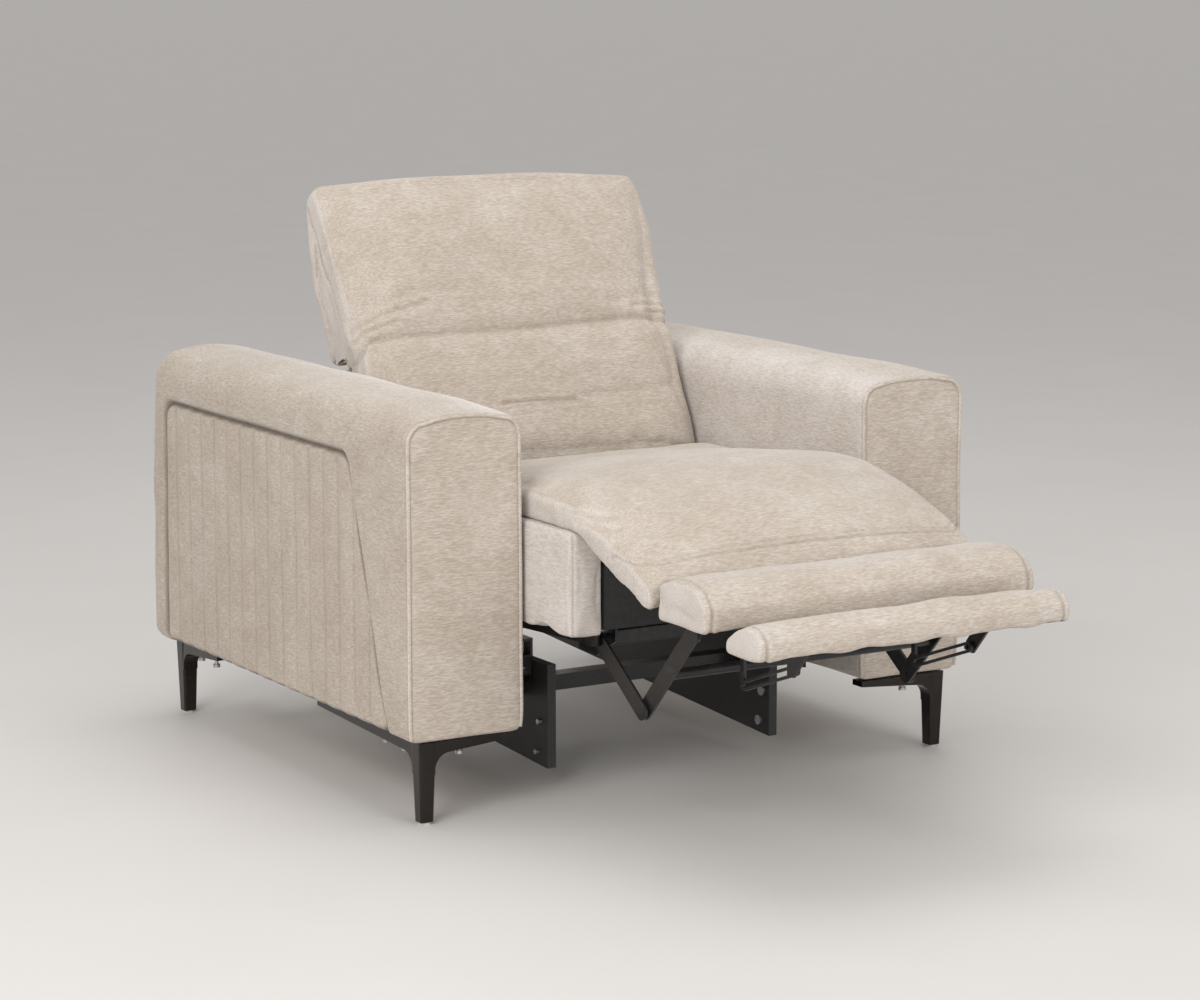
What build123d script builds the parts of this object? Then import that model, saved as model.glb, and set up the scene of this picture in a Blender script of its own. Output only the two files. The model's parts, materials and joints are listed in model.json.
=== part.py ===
from build123d import *
import os
from math import atan2, cos, degrees, radians, sin

os.makedirs("parts", exist_ok=True)

# Recliner armchair, millimetres.  +Z up, the sitter faces -Y, left is -X.
# The origin is on the floor, under the middle of the whole open chair.

# ---- driving dimensions -----------------------------------------------------
OVERALL_WIDTH = 1020
ARM_WIDTH = 200
ARM_DEPTH = 930
ARM_TOP = 626
LEG_HEIGHT = 127          # floor to the underside of the arms
SEAT_DECK = 450           # top of the seat frame
FOOT_REACH = 590          # open footrest, ahead of the arm fronts
SEAT_PROUD = 147          # seat nose, ahead of the arm fronts
SLIDE_TRAVEL = 130        # how far the seat runs back when it closes
SEAT_DEPTH = 575          # seat cushion, front to back
CUSHION_CROWN = 26
LIP_REACH = 195           # hinged front lip of the seat
PAD_1_DEPTH = 135
PAD_1_THICK = 67
PAD_2_THICK = 50
PAD_2_DROP = 38           # top of the second pad under the top of the first
BACK_LEAN = 22            # lumbar face, degrees from vertical
BACK_HALF_WIDTH = 295
LUMBAR_HEIGHT = 215       # measured along the back
LUMBAR_THICK = 75
HEADREST_LEAN = 29
HEADREST_HEIGHT = 258     # measured along the headrest
LEG_TOP_SIZE = 29
LEG_FOOT_SIZE = 22
GLIDE_THICK = 4

# ---- clearances and stock -----------------------------------------------------
SOFT_GAP = 6              # cushion to arm, each side
SLIDE_GAP = 0.5
PIN_CLEARANCE = 0.05
BOLT_CLEARANCE = 0.1
FIT_GAP = 0.2
SEAT_REST = 0.3           # seat cushion over the bolsters and the core
FOAM = 28                 # foam and cover around the arm's timber
PLY = 18
STEEL = 4
PLATE_GAP = 2             # washer between neighbouring link plates
PIVOT_R = 5
LINK_R = 14

# ---- places worked out from them ------------------------------------------------
ARM_FRONT = (FOOT_REACH - ARM_DEPTH) / 2
ARM_REAR = ARM_FRONT + ARM_DEPTH
OUTER = OVERALL_WIDTH / 2
INNER = OUTER - ARM_WIDTH
NOSE = ARM_FRONT - SEAT_PROUD
SEAT_REAR = NOSE + SEAT_DEPTH
ARM_HEIGHT = ARM_TOP - LEG_HEIGHT
SIDES = (("left", -1), ("right", 1))
ENDS = (("front", ARM_FRONT + 22, 1), ("rear", ARM_REAR - 52, -1))


def seat_point(back, down):
    """A point of the mechanism, from the seat nose and the seat deck."""
    return (NOSE + back, SEAT_DECK - down)


def span(plane_x, side, thick):
    """The YZ plane at plane_x on one side, where a plate grows outwards by thick."""
    return Plane.YZ.offset(plane_x if side > 0 else -plane_x - thick)


# ---- arms -----------------------------------------------------------------------
ARM_EDGE_R = 48
ARM_CORNER_R = 60
POCKET_Z = ARM_TOP - 36
POCKET_DEPTH = ARM_DEPTH - 2 * FOAM
POCKET_WIDTH = ARM_WIDTH - 2 * FOAM
POCKET_HEIGHT = POCKET_Z - LEG_HEIGHT
ARM_MID_Y = (ARM_FRONT + ARM_REAR) / 2
ARM_MID_X = OUTER - ARM_WIDTH / 2
PANEL_THICK = 12
PANEL_TOP = ARM_TOP - 82
PANEL_BASE = LEG_HEIGHT + 3
PANEL_OUTLINE = [
    (ARM_FRONT + 69, PANEL_BASE),
    (ARM_FRONT + 190, PANEL_TOP),
    (ARM_REAR - 62, PANEL_TOP),
    (ARM_REAR - 48, PANEL_BASE),
]
PANEL_CORNER_R = 22
SWITCH_Y = ARM_FRONT + 70
SWITCH_Z = SEAT_DECK + 97
SWITCH_SIZE = (60, 32)
SWITCH_DEPTH = 14
BUTTON_R = 8
BUTTON_STEP = 13          # each side of the plate's middle
BUTTON_PROUD = 2.5
BUTTON_TRAVEL = 1.5

# drive, in line with the rear torque tube
REAR_TUBE = seat_point(527, 188)
TUBE_SIZE = 25
ROD_FLANGE = 6
DRIVE_Z = REAR_TUBE[1]
TUBE_R = 16
TUBE_BORE_R = 10.5
ROD_R = 10
TUBE_FRONT = REAR_TUBE[0] + TUBE_SIZE / 2 + ROD_FLANGE + SLIDE_TRAVEL + 4
ROD_HOLD = 37.5           # rod inside the tube when open, and room at its end
TUBE_REAR = TUBE_FRONT + SLIDE_TRAVEL + ROD_HOLD
GEARBOX_DEPTH = 62
GEARBOX_SIZE = (120, 62)
GEARBOX_X = 28
MOTOR_R = 26
MOTOR_LENGTH = 130
MOTOR_X = 58

# cross rails that tie the two arms together, just under the seat's tracks
TRACK_HEIGHT = 30
TRACK_MID_Z = SEAT_DECK - 230
TRACK_LEG = 40            # web below the channel, bolted to the board
TRACK_BASE = TRACK_MID_Z - TRACK_HEIGHT / 2 - TRACK_LEG
RAIL_SIZE = (30, 25)
RAIL_PLATE = (70, 50)
RAIL_PLATE_THICK = 4
UPRIGHT_THICK = 4
RAIL_Z = TRACK_BASE - 1.5 - RAIL_SIZE[1] / 2
ARM_BOLT_Z = LEG_HEIGHT + 24
PLATE_LOW = min(RAIL_Z, ARM_BOLT_Z) - RAIL_PLATE[1] / 2
PLATE_HIGH = max(RAIL_Z, ARM_BOLT_Z) + RAIL_PLATE[1] / 2
FRONT_RAIL_Y = ARM_FRONT + 185
REAR_RAIL_Y = TUBE_REAR + GEARBOX_DEPTH + UPRIGHT_THICK + RAIL_SIZE[0] / 2
ARM_BOLT_R = 4
ARM_BOLT_STEP = 25
ARM_BOLT_LENGTH = FOAM + PLY + 6
RAIL_YS = (FRONT_RAIL_Y, REAR_RAIL_Y)
ARM_BOLT_SPOTS = [(y + d, ARM_BOLT_Z) for y in RAIL_YS for d in (-ARM_BOLT_STEP, ARM_BOLT_STEP)]

for name, side in SIDES:
    with BuildPart() as arm_cover:
        with BuildSketch(span(INNER, side, ARM_WIDTH)):
            with Locations((ARM_MID_Y, LEG_HEIGHT + ARM_HEIGHT / 2)):
                arm_side = Rectangle(ARM_DEPTH, ARM_HEIGHT)
            rear = arm_side.vertices().group_by(Axis.X)[-1]
            fillet(rear.sort_by(Axis.Y)[-1], ARM_CORNER_R)
            fillet(rear.sort_by(Axis.Y)[0], ARM_CORNER_R / 2)
            front = arm_side.vertices().group_by(Axis.X)[0]
            fillet(front.sort_by(Axis.Y)[-1], ARM_CORNER_R / 4)
        extrude(amount=ARM_WIDTH)
        with BuildSketch(Plane.XZ.offset(-ARM_MID_Y)) as arm_section:
            with Locations((side * ARM_MID_X, LEG_HEIGHT + ARM_HEIGHT / 2)):
                arm_end = Rectangle(ARM_WIDTH, ARM_HEIGHT)
            fillet(arm_end.vertices().group_by(Axis.Y)[-1], ARM_EDGE_R)
        extrude(amount=ARM_DEPTH, both=True, mode=Mode.INTERSECT)
        with BuildSketch(Plane.XY.offset(LEG_HEIGHT)):
            with Locations((side * ARM_MID_X, ARM_MID_Y)):
                Rectangle(POCKET_WIDTH, POCKET_DEPTH)
        extrude(amount=POCKET_HEIGHT, mode=Mode.SUBTRACT)
        with BuildSketch(span(OUTER - PANEL_THICK, side, PANEL_THICK)) as recess:
            with BuildLine():
                Polyline(*PANEL_OUTLINE, close=True)
            make_face()
            fillet(recess.vertices().group_by(Axis.Y)[-1], PANEL_CORNER_R)
        extrude(amount=PANEL_THICK, mode=Mode.SUBTRACT)
        with BuildSketch(span(INNER, side, FOAM)):
            with Locations(*ARM_BOLT_SPOTS):
                Circle(ARM_BOLT_R + BOLT_CLEARANCE)
        extrude(amount=FOAM, mode=Mode.SUBTRACT)
        if side < 0:
            with BuildSketch(span(INNER, side, SWITCH_DEPTH)):
                with Locations((SWITCH_Y, SWITCH_Z)):
                    Rectangle(SWITCH_SIZE[0] + FIT_GAP, SWITCH_SIZE[1] + FIT_GAP)
            extrude(amount=SWITCH_DEPTH, mode=Mode.SUBTRACT)
    arm_cover.part.label = f"{name}_arm_cover"
    export_step(arm_cover.part, f"parts/{name}_arm_cover.step")

    with BuildPart() as side_panel:
        with BuildSketch(span(OUTER - PANEL_THICK, side, PANEL_THICK)) as panel_face:
            with BuildLine():
                Polyline(*PANEL_OUTLINE, close=True)
            make_face()
            fillet(panel_face.vertices().group_by(Axis.Y)[-1], PANEL_CORNER_R)
            offset(amount=-FIT_GAP)
        extrude(amount=PANEL_THICK)
    side_panel.part.label = f"{name}_side_panel"
    export_step(side_panel.part, f"parts/{name}_side_panel.step")

# a box of six boards inside each cover
board_depth = POCKET_DEPTH - 2 * FIT_GAP
board_width = POCKET_WIDTH - 2 * FIT_GAP
board_top = POCKET_Z - FIT_GAP
with BuildPart() as arm_frames:
    for _, side in SIDES:
        for z in (LEG_HEIGHT, board_top - PLY):
            with BuildSketch(Plane.XY.offset(z)):
                with Locations((side * ARM_MID_X, ARM_MID_Y)):
                    Rectangle(board_width, board_depth)
            extrude(amount=PLY)
        with BuildSketch(Plane.XY.offset(LEG_HEIGHT + PLY)):
            with Locations((side * ARM_MID_X, ARM_MID_Y)):
                with GridLocations(board_width - PLY, 0, 2, 1):
                    Rectangle(PLY, board_depth)
                with GridLocations(0, board_depth - PLY, 1, 2):
                    Rectangle(board_width - 2 * PLY, PLY)
        extrude(amount=board_top - LEG_HEIGHT - 2 * PLY)
        with BuildSketch(span(INNER + FOAM, side, PLY + FIT_GAP)):
            with Locations(*ARM_BOLT_SPOTS):
                Circle(ARM_BOLT_R + BOLT_CLEARANCE)
        extrude(amount=PLY + FIT_GAP, mode=Mode.SUBTRACT)
arm_frames.part.label = "arm_frames"
export_step(arm_frames.part, "parts/arm_frames.step")

# ---- legs -----------------------------------------------------------------------
LEG_X = OUTER - 38
WING_THICK = 20
WING_TIP = 9
WING_X_LENGTH = 150
WING_Y_LENGTH = 330
WING_WIDTH = 26
WING_FILLET = 26
LEG_SCREW_R = 3
LEG_SCREW_LENGTH = 26
WING_SCREWS = (60, 120)

for name, side in SIDES:
    for end, leg_y, inward in ENDS:
        leg_x = side * LEG_X
        y_wing = WING_Y_LENGTH if end == "front" else WING_X_LENGTH
        with BuildPart() as leg:
            with BuildSketch(Plane.XY.offset(GLIDE_THICK)):
                with Locations((leg_x, leg_y)):
                    RectangleRounded(LEG_FOOT_SIZE, LEG_FOOT_SIZE, 4)
            with BuildSketch(Plane.XY.offset(LEG_HEIGHT)):
                with Locations((leg_x, leg_y)):
                    RectangleRounded(LEG_TOP_SIZE, LEG_TOP_SIZE, 4)
            loft()
            half = LEG_TOP_SIZE / 2
            low = LEG_HEIGHT - WING_THICK
            with BuildSketch(Plane.XZ.offset(-leg_y)) as x_wing_face:
                x_tip = leg_x - side * WING_X_LENGTH
                with BuildLine():
                    Polyline(
                        (leg_x, LEG_HEIGHT),
                        (x_tip, LEG_HEIGHT),
                        (x_tip, LEG_HEIGHT - WING_TIP),
                        (leg_x - side * (half - 2), low),
                        (leg_x - side * (half - 2), low - WING_FILLET - 4),
                        (leg_x, low - WING_FILLET - 4),
                        close=True,
                    )
                make_face()
                inside = (leg_x - side * (half - 2), low)
                fillet(x_wing_face.vertices().sort_by_distance(inside)[0], WING_FILLET)
            extrude(amount=WING_WIDTH / 2, both=True)
            with BuildSketch(Plane.YZ.offset(leg_x)) as y_wing_face:
                y_tip = leg_y + inward * y_wing
                with BuildLine():
                    Polyline(
                        (leg_y, LEG_HEIGHT),
                        (y_tip, LEG_HEIGHT),
                        (y_tip, LEG_HEIGHT - WING_TIP),
                        (leg_y + inward * (half - 2), low),
                        (leg_y + inward * (half - 2), low - WING_FILLET - 4),
                        (leg_y, low - WING_FILLET - 4),
                        close=True,
                    )
                make_face()
                inside = (leg_y + inward * (half - 2), low)
                fillet(y_wing_face.vertices().sort_by_distance(inside)[0], WING_FILLET)
            extrude(amount=WING_WIDTH / 2, both=True)
            with BuildSketch(Plane.XY.offset(low - 5)):
                with Locations(*[(leg_x, leg_y + inward * d) for d in WING_SCREWS]):
                    Circle(LEG_SCREW_R + BOLT_CLEARANCE)
                with Locations((leg_x - side * WING_SCREWS[0], leg_y)):
                    Circle(LEG_SCREW_R + BOLT_CLEARANCE)
            extrude(amount=WING_THICK + 6, mode=Mode.SUBTRACT)
        leg.part.label = f"{end}_{name}_leg"
        export_step(leg.part, f"parts/{end}_{name}_leg.step")

with BuildPart() as leg_glides:
    with BuildSketch(Plane.XY):
        with Locations(*[(side * LEG_X, leg_y) for _, side in SIDES for _, leg_y, _ in ENDS]):
            Circle(LEG_FOOT_SIZE / 2 - 1)
    extrude(amount=GLIDE_THICK)
leg_glides.part.label = "leg_glides"
export_step(leg_glides.part, "parts/leg_glides.step")

# ---- base: rails, side boards, tracks ---------------------------------------------
BOARD_X = 200
BOARD_THICK = 15
BOARD_FRONT = ARM_FRONT + 95
BOARD_REAR = REAR_RAIL_Y + 45
BOARD_BASE = LEG_HEIGHT - 92
BOARD_TOP = SEAT_DECK - 250
TRACK_X = BOARD_X + BOARD_THICK
TRACK_WALL = 4
TRACK_WIDTH = 16
TRACK_FRONT = ARM_FRONT + 140
TRACK_REAR = ARM_FRONT + 610
BOLT_R = 4
BOLT_HEAD_R = 8
BOLT_HEAD = 4
BOARD_BOLT_YS = [TRACK_FRONT + 20, (TRACK_FRONT + TRACK_REAR) / 2, TRACK_REAR - 20]
BOARD_BOLT_Z = TRACK_MID_Z - TRACK_HEIGHT / 2 - TRACK_LEG / 2
LOW_BOLTS = [(BOARD_FRONT + 28, BOARD_BASE + 22), (BOARD_FRONT + 20, BOARD_BASE + 72)]

for end, rail_y in (("front", FRONT_RAIL_Y), ("rear", REAR_RAIL_Y)):
    with BuildPart() as cross_rail:
        rail_half = INNER - RAIL_PLATE_THICK
        with BuildSketch(Plane.YZ.offset(-rail_half)):
            with Locations((rail_y, RAIL_Z)):
                Rectangle(*RAIL_SIZE)
                Rectangle(RAIL_SIZE[0] - 4, RAIL_SIZE[1] - 4, mode=Mode.SUBTRACT)
        extrude(amount=2 * rail_half)
        for _, side in SIDES:
            with BuildSketch(span(rail_half, side, RAIL_PLATE_THICK)):
                with Locations((rail_y, (PLATE_LOW + PLATE_HIGH) / 2)):
                    Rectangle(RAIL_PLATE[0], PLATE_HIGH - PLATE_LOW)
                with Locations(*[(rail_y + d, ARM_BOLT_Z) for d in (-ARM_BOLT_STEP, ARM_BOLT_STEP)]):
                    Circle(ARM_BOLT_R + BOLT_CLEARANCE, mode=Mode.SUBTRACT)
            extrude(amount=RAIL_PLATE_THICK)
        if end == "rear":
            # upright that carries the gearbox
            upright_low = RAIL_Z - RAIL_SIZE[1] / 2
            upright_high = DRIVE_Z + GEARBOX_SIZE[1] / 2
            with BuildSketch(Plane.XZ.offset(-TUBE_REAR - GEARBOX_DEPTH)):
                with Locations((GEARBOX_X, (upright_low + upright_high) / 2)):
                    Rectangle(GEARBOX_SIZE[0], upright_high - upright_low)
            extrude(amount=-UPRIGHT_THICK)
    cross_rail.part.label = f"{end}_cross_rail"
    export_step(cross_rail.part, f"parts/{end}_cross_rail.step")

with BuildPart() as arm_bolts:
    for _, side in SIDES:
        with BuildSketch(span(INNER - RAIL_PLATE_THICK, side, ARM_BOLT_LENGTH)):
            with Locations(*ARM_BOLT_SPOTS):
                Circle(ARM_BOLT_R)
        extrude(amount=ARM_BOLT_LENGTH)
        with BuildSketch(span(INNER - RAIL_PLATE_THICK - BOLT_HEAD, side, BOLT_HEAD)):
            with Locations(*ARM_BOLT_SPOTS):
                RegularPolygon(7, 6)
        extrude(amount=BOLT_HEAD)
arm_bolts.part.label = "arm_bolts"
export_step(arm_bolts.part, "parts/arm_bolts.step")

with BuildPart() as leg_screws:
    for _, side in SIDES:
        for _, leg_y, inward in ENDS:
            spots = [(side * LEG_X, leg_y + inward * d) for d in WING_SCREWS]
            spots.append((side * (LEG_X - WING_SCREWS[0]), leg_y))
            with BuildSketch(Plane.XY.offset(LEG_HEIGHT)):
                with Locations(*spots):
                    Circle(LEG_SCREW_R)
            extrude(amount=-LEG_SCREW_LENGTH)
            with BuildSketch(Plane.XY.offset(LEG_HEIGHT - LEG_SCREW_LENGTH)):
                with Locations(*spots):
                    Circle(2 * LEG_SCREW_R)
            extrude(amount=LEG_SCREW_LENGTH - WING_THICK - 1)
leg_screws.part.label = "leg_screws"
export_step(leg_screws.part, "parts/leg_screws.step")

with BuildPart() as side_boards:
    for _, side in SIDES:
        with BuildSketch(span(BOARD_X, side, BOARD_THICK)):
            with BuildLine():
                Polyline(
                    (BOARD_FRONT, BOARD_BASE),
                    (BOARD_REAR, BOARD_BASE + 40),
                    (BOARD_REAR, BOARD_TOP),
                    (BOARD_FRONT, BOARD_TOP),
                    close=True,
                )
            make_face()
            for rail_y in RAIL_YS:
                with Locations((rail_y, RAIL_Z)):
                    Rectangle(RAIL_SIZE[0] + 2 * SLIDE_GAP, RAIL_SIZE[1] + 2 * SLIDE_GAP,
                              mode=Mode.SUBTRACT)
            with Locations(*[(y, BOARD_BOLT_Z) for y in BOARD_BOLT_YS], *LOW_BOLTS):
                Circle(BOLT_R + BOLT_CLEARANCE, mode=Mode.SUBTRACT)
        extrude(amount=BOARD_THICK)
side_boards.part.label = "side_boards"
export_step(side_boards.part, "parts/side_boards.step")

with BuildPart() as base_tracks:
    track_mid_y = (TRACK_FRONT + TRACK_REAR) / 2
    track_length = TRACK_REAR - TRACK_FRONT
    for _, side in SIDES:
        with BuildSketch(span(TRACK_X, side, TRACK_WIDTH)):
            with Locations((track_mid_y, TRACK_MID_Z)):
                with GridLocations(0, TRACK_HEIGHT - TRACK_WALL, 1, 2):
                    Rectangle(track_length, TRACK_WALL)
        extrude(amount=TRACK_WIDTH)
        with BuildSketch(span(TRACK_X, side, TRACK_WALL)):
            with Locations((track_mid_y, TRACK_MID_Z - TRACK_LEG / 2)):
                Rectangle(track_length, TRACK_HEIGHT + TRACK_LEG)
            with Locations(*[(y, BOARD_BOLT_Z) for y in BOARD_BOLT_YS]):
                Circle(BOLT_R + BOLT_CLEARANCE, mode=Mode.SUBTRACT)
        extrude(amount=TRACK_WALL)
base_tracks.part.label = "base_tracks"
export_step(base_tracks.part, "parts/base_tracks.step")

with BuildPart() as board_bolts:
    bolt_length = BOARD_THICK + TRACK_WALL + 3
    for _, side in SIDES:
        with BuildSketch(span(BOARD_X, side, bolt_length)):
            with Locations(*[(y, BOARD_BOLT_Z) for y in BOARD_BOLT_YS], *LOW_BOLTS):
                Circle(BOLT_R)
        extrude(amount=bolt_length)
        with BuildSketch(span(BOARD_X - BOLT_HEAD, side, BOLT_HEAD)):
            with Locations(*[(y, BOARD_BOLT_Z) for y in BOARD_BOLT_YS], *LOW_BOLTS):
                Circle(BOLT_HEAD_R)
        extrude(amount=BOLT_HEAD)
board_bolts.part.label = "board_bolts"
export_step(board_bolts.part, "parts/board_bolts.step")

# ---- drive: motor, gearbox, tube on the base, rod on the carriage -------------------
with BuildPart() as drive_tube:
    with BuildSketch(Plane.XZ.offset(-TUBE_FRONT)):
        with Locations((0, DRIVE_Z)):
            Circle(TUBE_R)
            Circle(TUBE_BORE_R, mode=Mode.SUBTRACT)
    extrude(amount=-(TUBE_REAR - TUBE_FRONT))
drive_tube.part.label = "drive_tube"
export_step(drive_tube.part, "parts/drive_tube.step")

with BuildPart() as gearbox:
    with BuildSketch(Plane.XZ.offset(-TUBE_REAR)):
        with Locations((GEARBOX_X, DRIVE_Z)):
            RectangleRounded(*GEARBOX_SIZE, 8)
    extrude(amount=-GEARBOX_DEPTH)
    fillet(gearbox.faces().sort_by(Axis.Y)[0].edges(), 3)
gearbox.part.label = "gearbox"
export_step(gearbox.part, "parts/gearbox.step")

with BuildPart() as drive_motor:
    with BuildSketch(Plane.XZ.offset(-TUBE_REAR)):
        with Locations((MOTOR_X, DRIVE_Z)):
            Circle(MOTOR_R)
    extrude(amount=MOTOR_LENGTH)
    fillet(drive_motor.faces().sort_by(Axis.Y)[0].edges(), 4)
drive_motor.part.label = "drive_motor"
export_step(drive_motor.part, "parts/drive_motor.step")

CONTROL_BOX = (42, 130, 55)
CONTROL_Y = ARM_FRONT + 600
CONTROL_Z = BOARD_BOLT_Z - BOLT_HEAD_R - 15 - CONTROL_BOX[2]

with BuildPart() as control_box:
    with BuildSketch(Plane.XY.offset(CONTROL_Z)):
        with Locations((-BOARD_X + CONTROL_BOX[0] / 2, CONTROL_Y)):
            RectangleRounded(CONTROL_BOX[0], CONTROL_BOX[1], 6)
    extrude(amount=CONTROL_BOX[2])
control_box.part.label = "control_box"
export_step(control_box.part, "parts/control_box.step")

with BuildPart() as switch_housing:
    with BuildSketch(span(INNER, -1, SWITCH_DEPTH)):
        with Locations((SWITCH_Y, SWITCH_Z)):
            RectangleRounded(*SWITCH_SIZE, 6)
    extrude(amount=SWITCH_DEPTH)
    with BuildSketch(span(INNER, -1, SWITCH_DEPTH - 3)):
        with Locations((SWITCH_Y - BUTTON_STEP, SWITCH_Z), (SWITCH_Y + BUTTON_STEP, SWITCH_Z)):
            Circle(BUTTON_R + 2 * FIT_GAP)
    extrude(amount=SWITCH_DEPTH - 3, mode=Mode.SUBTRACT)
switch_housing.part.label = "switch_housing"
export_step(switch_housing.part, "parts/switch_housing.step")

for name, step in (("open", -BUTTON_STEP), ("close", BUTTON_STEP)):
    button_depth = SWITCH_DEPTH - 3 - BUTTON_TRAVEL - FIT_GAP
    with BuildPart() as button:
        with BuildSketch(Plane.YZ.offset(-INNER + BUTTON_PROUD)):
            with Locations((SWITCH_Y + step, SWITCH_Z)):
                Circle(BUTTON_R)
        extrude(amount=-(BUTTON_PROUD + button_depth))
        fillet(button.faces().sort_by(Axis.X)[-1].edges(), 1)
    button.part.label = f"{name}_button"
    export_step(button.part, f"parts/{name}_button.step")

# ---- carriage ---------------------------------------------------------------------
CARRIAGE_X = 246          # outer side plate, inner face
LINK_1_X = CARRIAGE_X - PLATE_GAP - STEEL
LINK_2_X = LINK_1_X - PLATE_GAP - STEEL
FOOT_PLATE_X = LINK_2_X - PLATE_GAP - STEEL
INNER_PLATE_X = 214
FRAME_X = CARRIAGE_X + STEEL
FRAME_FRONT = NOSE + 14
BOLSTER_X = INNER - 4
LINK_1_PIVOT = seat_point(58.4, 160)
LINK_JOINT = seat_point(-78, 255)
FOOT_PIVOT = seat_point(-205, 118)
LIP_HINGE = seat_point(-3, 12)
BACK_PIVOT = seat_point(612, 25)
FRONT_TUBE = seat_point(102, 182)
SHOE_BACKS = (337, 547)
SHOE_LENGTH = 60
FRAME_REAR = NOSE + 547
FRAME_LOW = SEAT_DECK - 150
SEAT_FRAME_TOP = SEAT_DECK - 10
RAIL_THICK = 22

with BuildPart() as carriage_plates:
    for _, side in SIDES:
        with BuildSketch(span(CARRIAGE_X, side, STEEL)):
            with BuildLine():
                Polyline(
                    seat_point(34, 178),
                    seat_point(34, 118),
                    seat_point(80, 30),
                    seat_point(594, 30),
                    seat_point(612, 45),
                    seat_point(590, 245),
                    seat_point(300, 245),
                    seat_point(262, 190),
                    close=True,
                )
            make_face()
            with Locations(BACK_PIVOT):
                Circle(20)
            with Locations(LINK_1_PIVOT):
                Circle(22)
            with Locations(BACK_PIVOT, LINK_1_PIVOT):
                Circle(PIVOT_R + BOLT_CLEARANCE, mode=Mode.SUBTRACT)
        extrude(amount=STEEL)
carriage_plates.part.label = "carriage_plates"
export_step(carriage_plates.part, "parts/carriage_plates.step")

with BuildPart() as slide_shoes:
    shoe_height = TRACK_HEIGHT - 2 * TRACK_WALL - 2 * SLIDE_GAP
    shoe_in = TRACK_X + TRACK_WALL + SLIDE_GAP
    for _, side in SIDES:
        with BuildSketch(span(shoe_in, side, CARRIAGE_X - shoe_in)):
            with Locations(*[(NOSE + d, TRACK_MID_Z) for d in SHOE_BACKS]):
                Rectangle(SHOE_LENGTH, shoe_height)
        extrude(amount=CARRIAGE_X - shoe_in)
slide_shoes.part.label = "slide_shoes"
export_step(slide_shoes.part, "parts/slide_shoes.step")

for name, side in SIDES:
    with BuildPart() as bolster:
        bolster_low = SEAT_DECK - 162
        bolster_depth = FRAME_REAR - FRAME_FRONT
        bolster_width = BOLSTER_X - FRAME_X
        with BuildSketch(span(FRAME_X, side, bolster_width)):
            with Locations((FRAME_FRONT + bolster_depth / 2, (SEAT_DECK + bolster_low) / 2)):
                Rectangle(bolster_depth, SEAT_DECK - bolster_low)
        extrude(amount=bolster_width)
        fillet(bolster.edges().filter_by(Axis.Y).group_by(Axis.Z)[-1], 6)
        with BuildSketch(span(FRAME_X, side, RAIL_THICK + FIT_GAP)):
            with Locations((FRAME_FRONT + 14 + bolster_depth / 2, (SEAT_FRAME_TOP + FRAME_LOW) / 2)):
                Rectangle(bolster_depth, SEAT_FRAME_TOP - FRAME_LOW + 2 * FIT_GAP)
        extrude(amount=RAIL_THICK + FIT_GAP, mode=Mode.SUBTRACT)
    bolster.part.label = f"{name}_bolster"
    export_step(bolster.part, f"parts/{name}_bolster.step")

with BuildPart() as seat_frame:
    frame_mid_z = (SEAT_FRAME_TOP + FRAME_LOW) / 2
    frame_height = SEAT_FRAME_TOP - FRAME_LOW
    side_front = FRAME_FRONT + 14 + FIT_GAP
    for _, side in SIDES:
        with BuildSketch(span(FRAME_X, side, RAIL_THICK)):
            with Locations(((side_front + FRAME_REAR) / 2, frame_mid_z)):
                Rectangle(FRAME_REAR - side_front, frame_height)
        extrude(amount=RAIL_THICK)
    with BuildSketch(Plane.XZ.offset(-FRAME_FRONT)):
        with Locations((0, frame_mid_z)):
            Rectangle(2 * FRAME_X - 2 * FIT_GAP, frame_height)
    extrude(amount=-RAIL_THICK)
    with BuildSketch(Plane.XZ.offset(-FRAME_REAR)):
        with Locations((0, frame_mid_z + 15)):
            Rectangle(2 * CARRIAGE_X - 2 * FIT_GAP, frame_height - 30)
    extrude(amount=RAIL_THICK)
    for _, side in SIDES:
        with BuildSketch(span(CARRIAGE_X - FIT_GAP, side, STEEL + FIT_GAP)):
            with Locations((NOSE + 57, frame_mid_z)):
                Rectangle(50, frame_height)
        extrude(amount=STEEL + FIT_GAP, mode=Mode.SUBTRACT)
seat_frame.part.label = "seat_frame"
export_step(seat_frame.part, "parts/seat_frame.step")

with BuildPart() as inner_plates:
    for _, side in SIDES:
        with BuildSketch(span(INNER_PLATE_X, side, STEEL)):
            with BuildLine():
                Polyline(
                    seat_point(FRAME_FRONT - NOSE + RAIL_THICK, 112),
                    seat_point(140, 112),
                    seat_point(140, 205),
                    seat_point(90, 205),
                    seat_point(FRAME_FRONT - NOSE + RAIL_THICK, 175),
                    close=True,
                )
            make_face()
            with Locations(LINK_1_PIVOT):
                Circle(PIVOT_R + BOLT_CLEARANCE, mode=Mode.SUBTRACT)
        extrude(amount=STEEL)
inner_plates.part.label = "inner_plates"
export_step(inner_plates.part, "parts/inner_plates.step")

for end, spot, half in (("front", FRONT_TUBE, INNER_PLATE_X), ("rear", REAR_TUBE, CARRIAGE_X)):
    with BuildPart() as torque_tube:
        with BuildSketch(Plane.YZ.offset(-half)):
            with Locations(spot):
                RectangleRounded(TUBE_SIZE, TUBE_SIZE, 3)
                RectangleRounded(TUBE_SIZE - 4, TUBE_SIZE - 4, 1, mode=Mode.SUBTRACT)
        extrude(amount=2 * half)
    torque_tube.part.label = f"{end}_torque_tube"
    export_step(torque_tube.part, f"parts/{end}_torque_tube.step")

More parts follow.
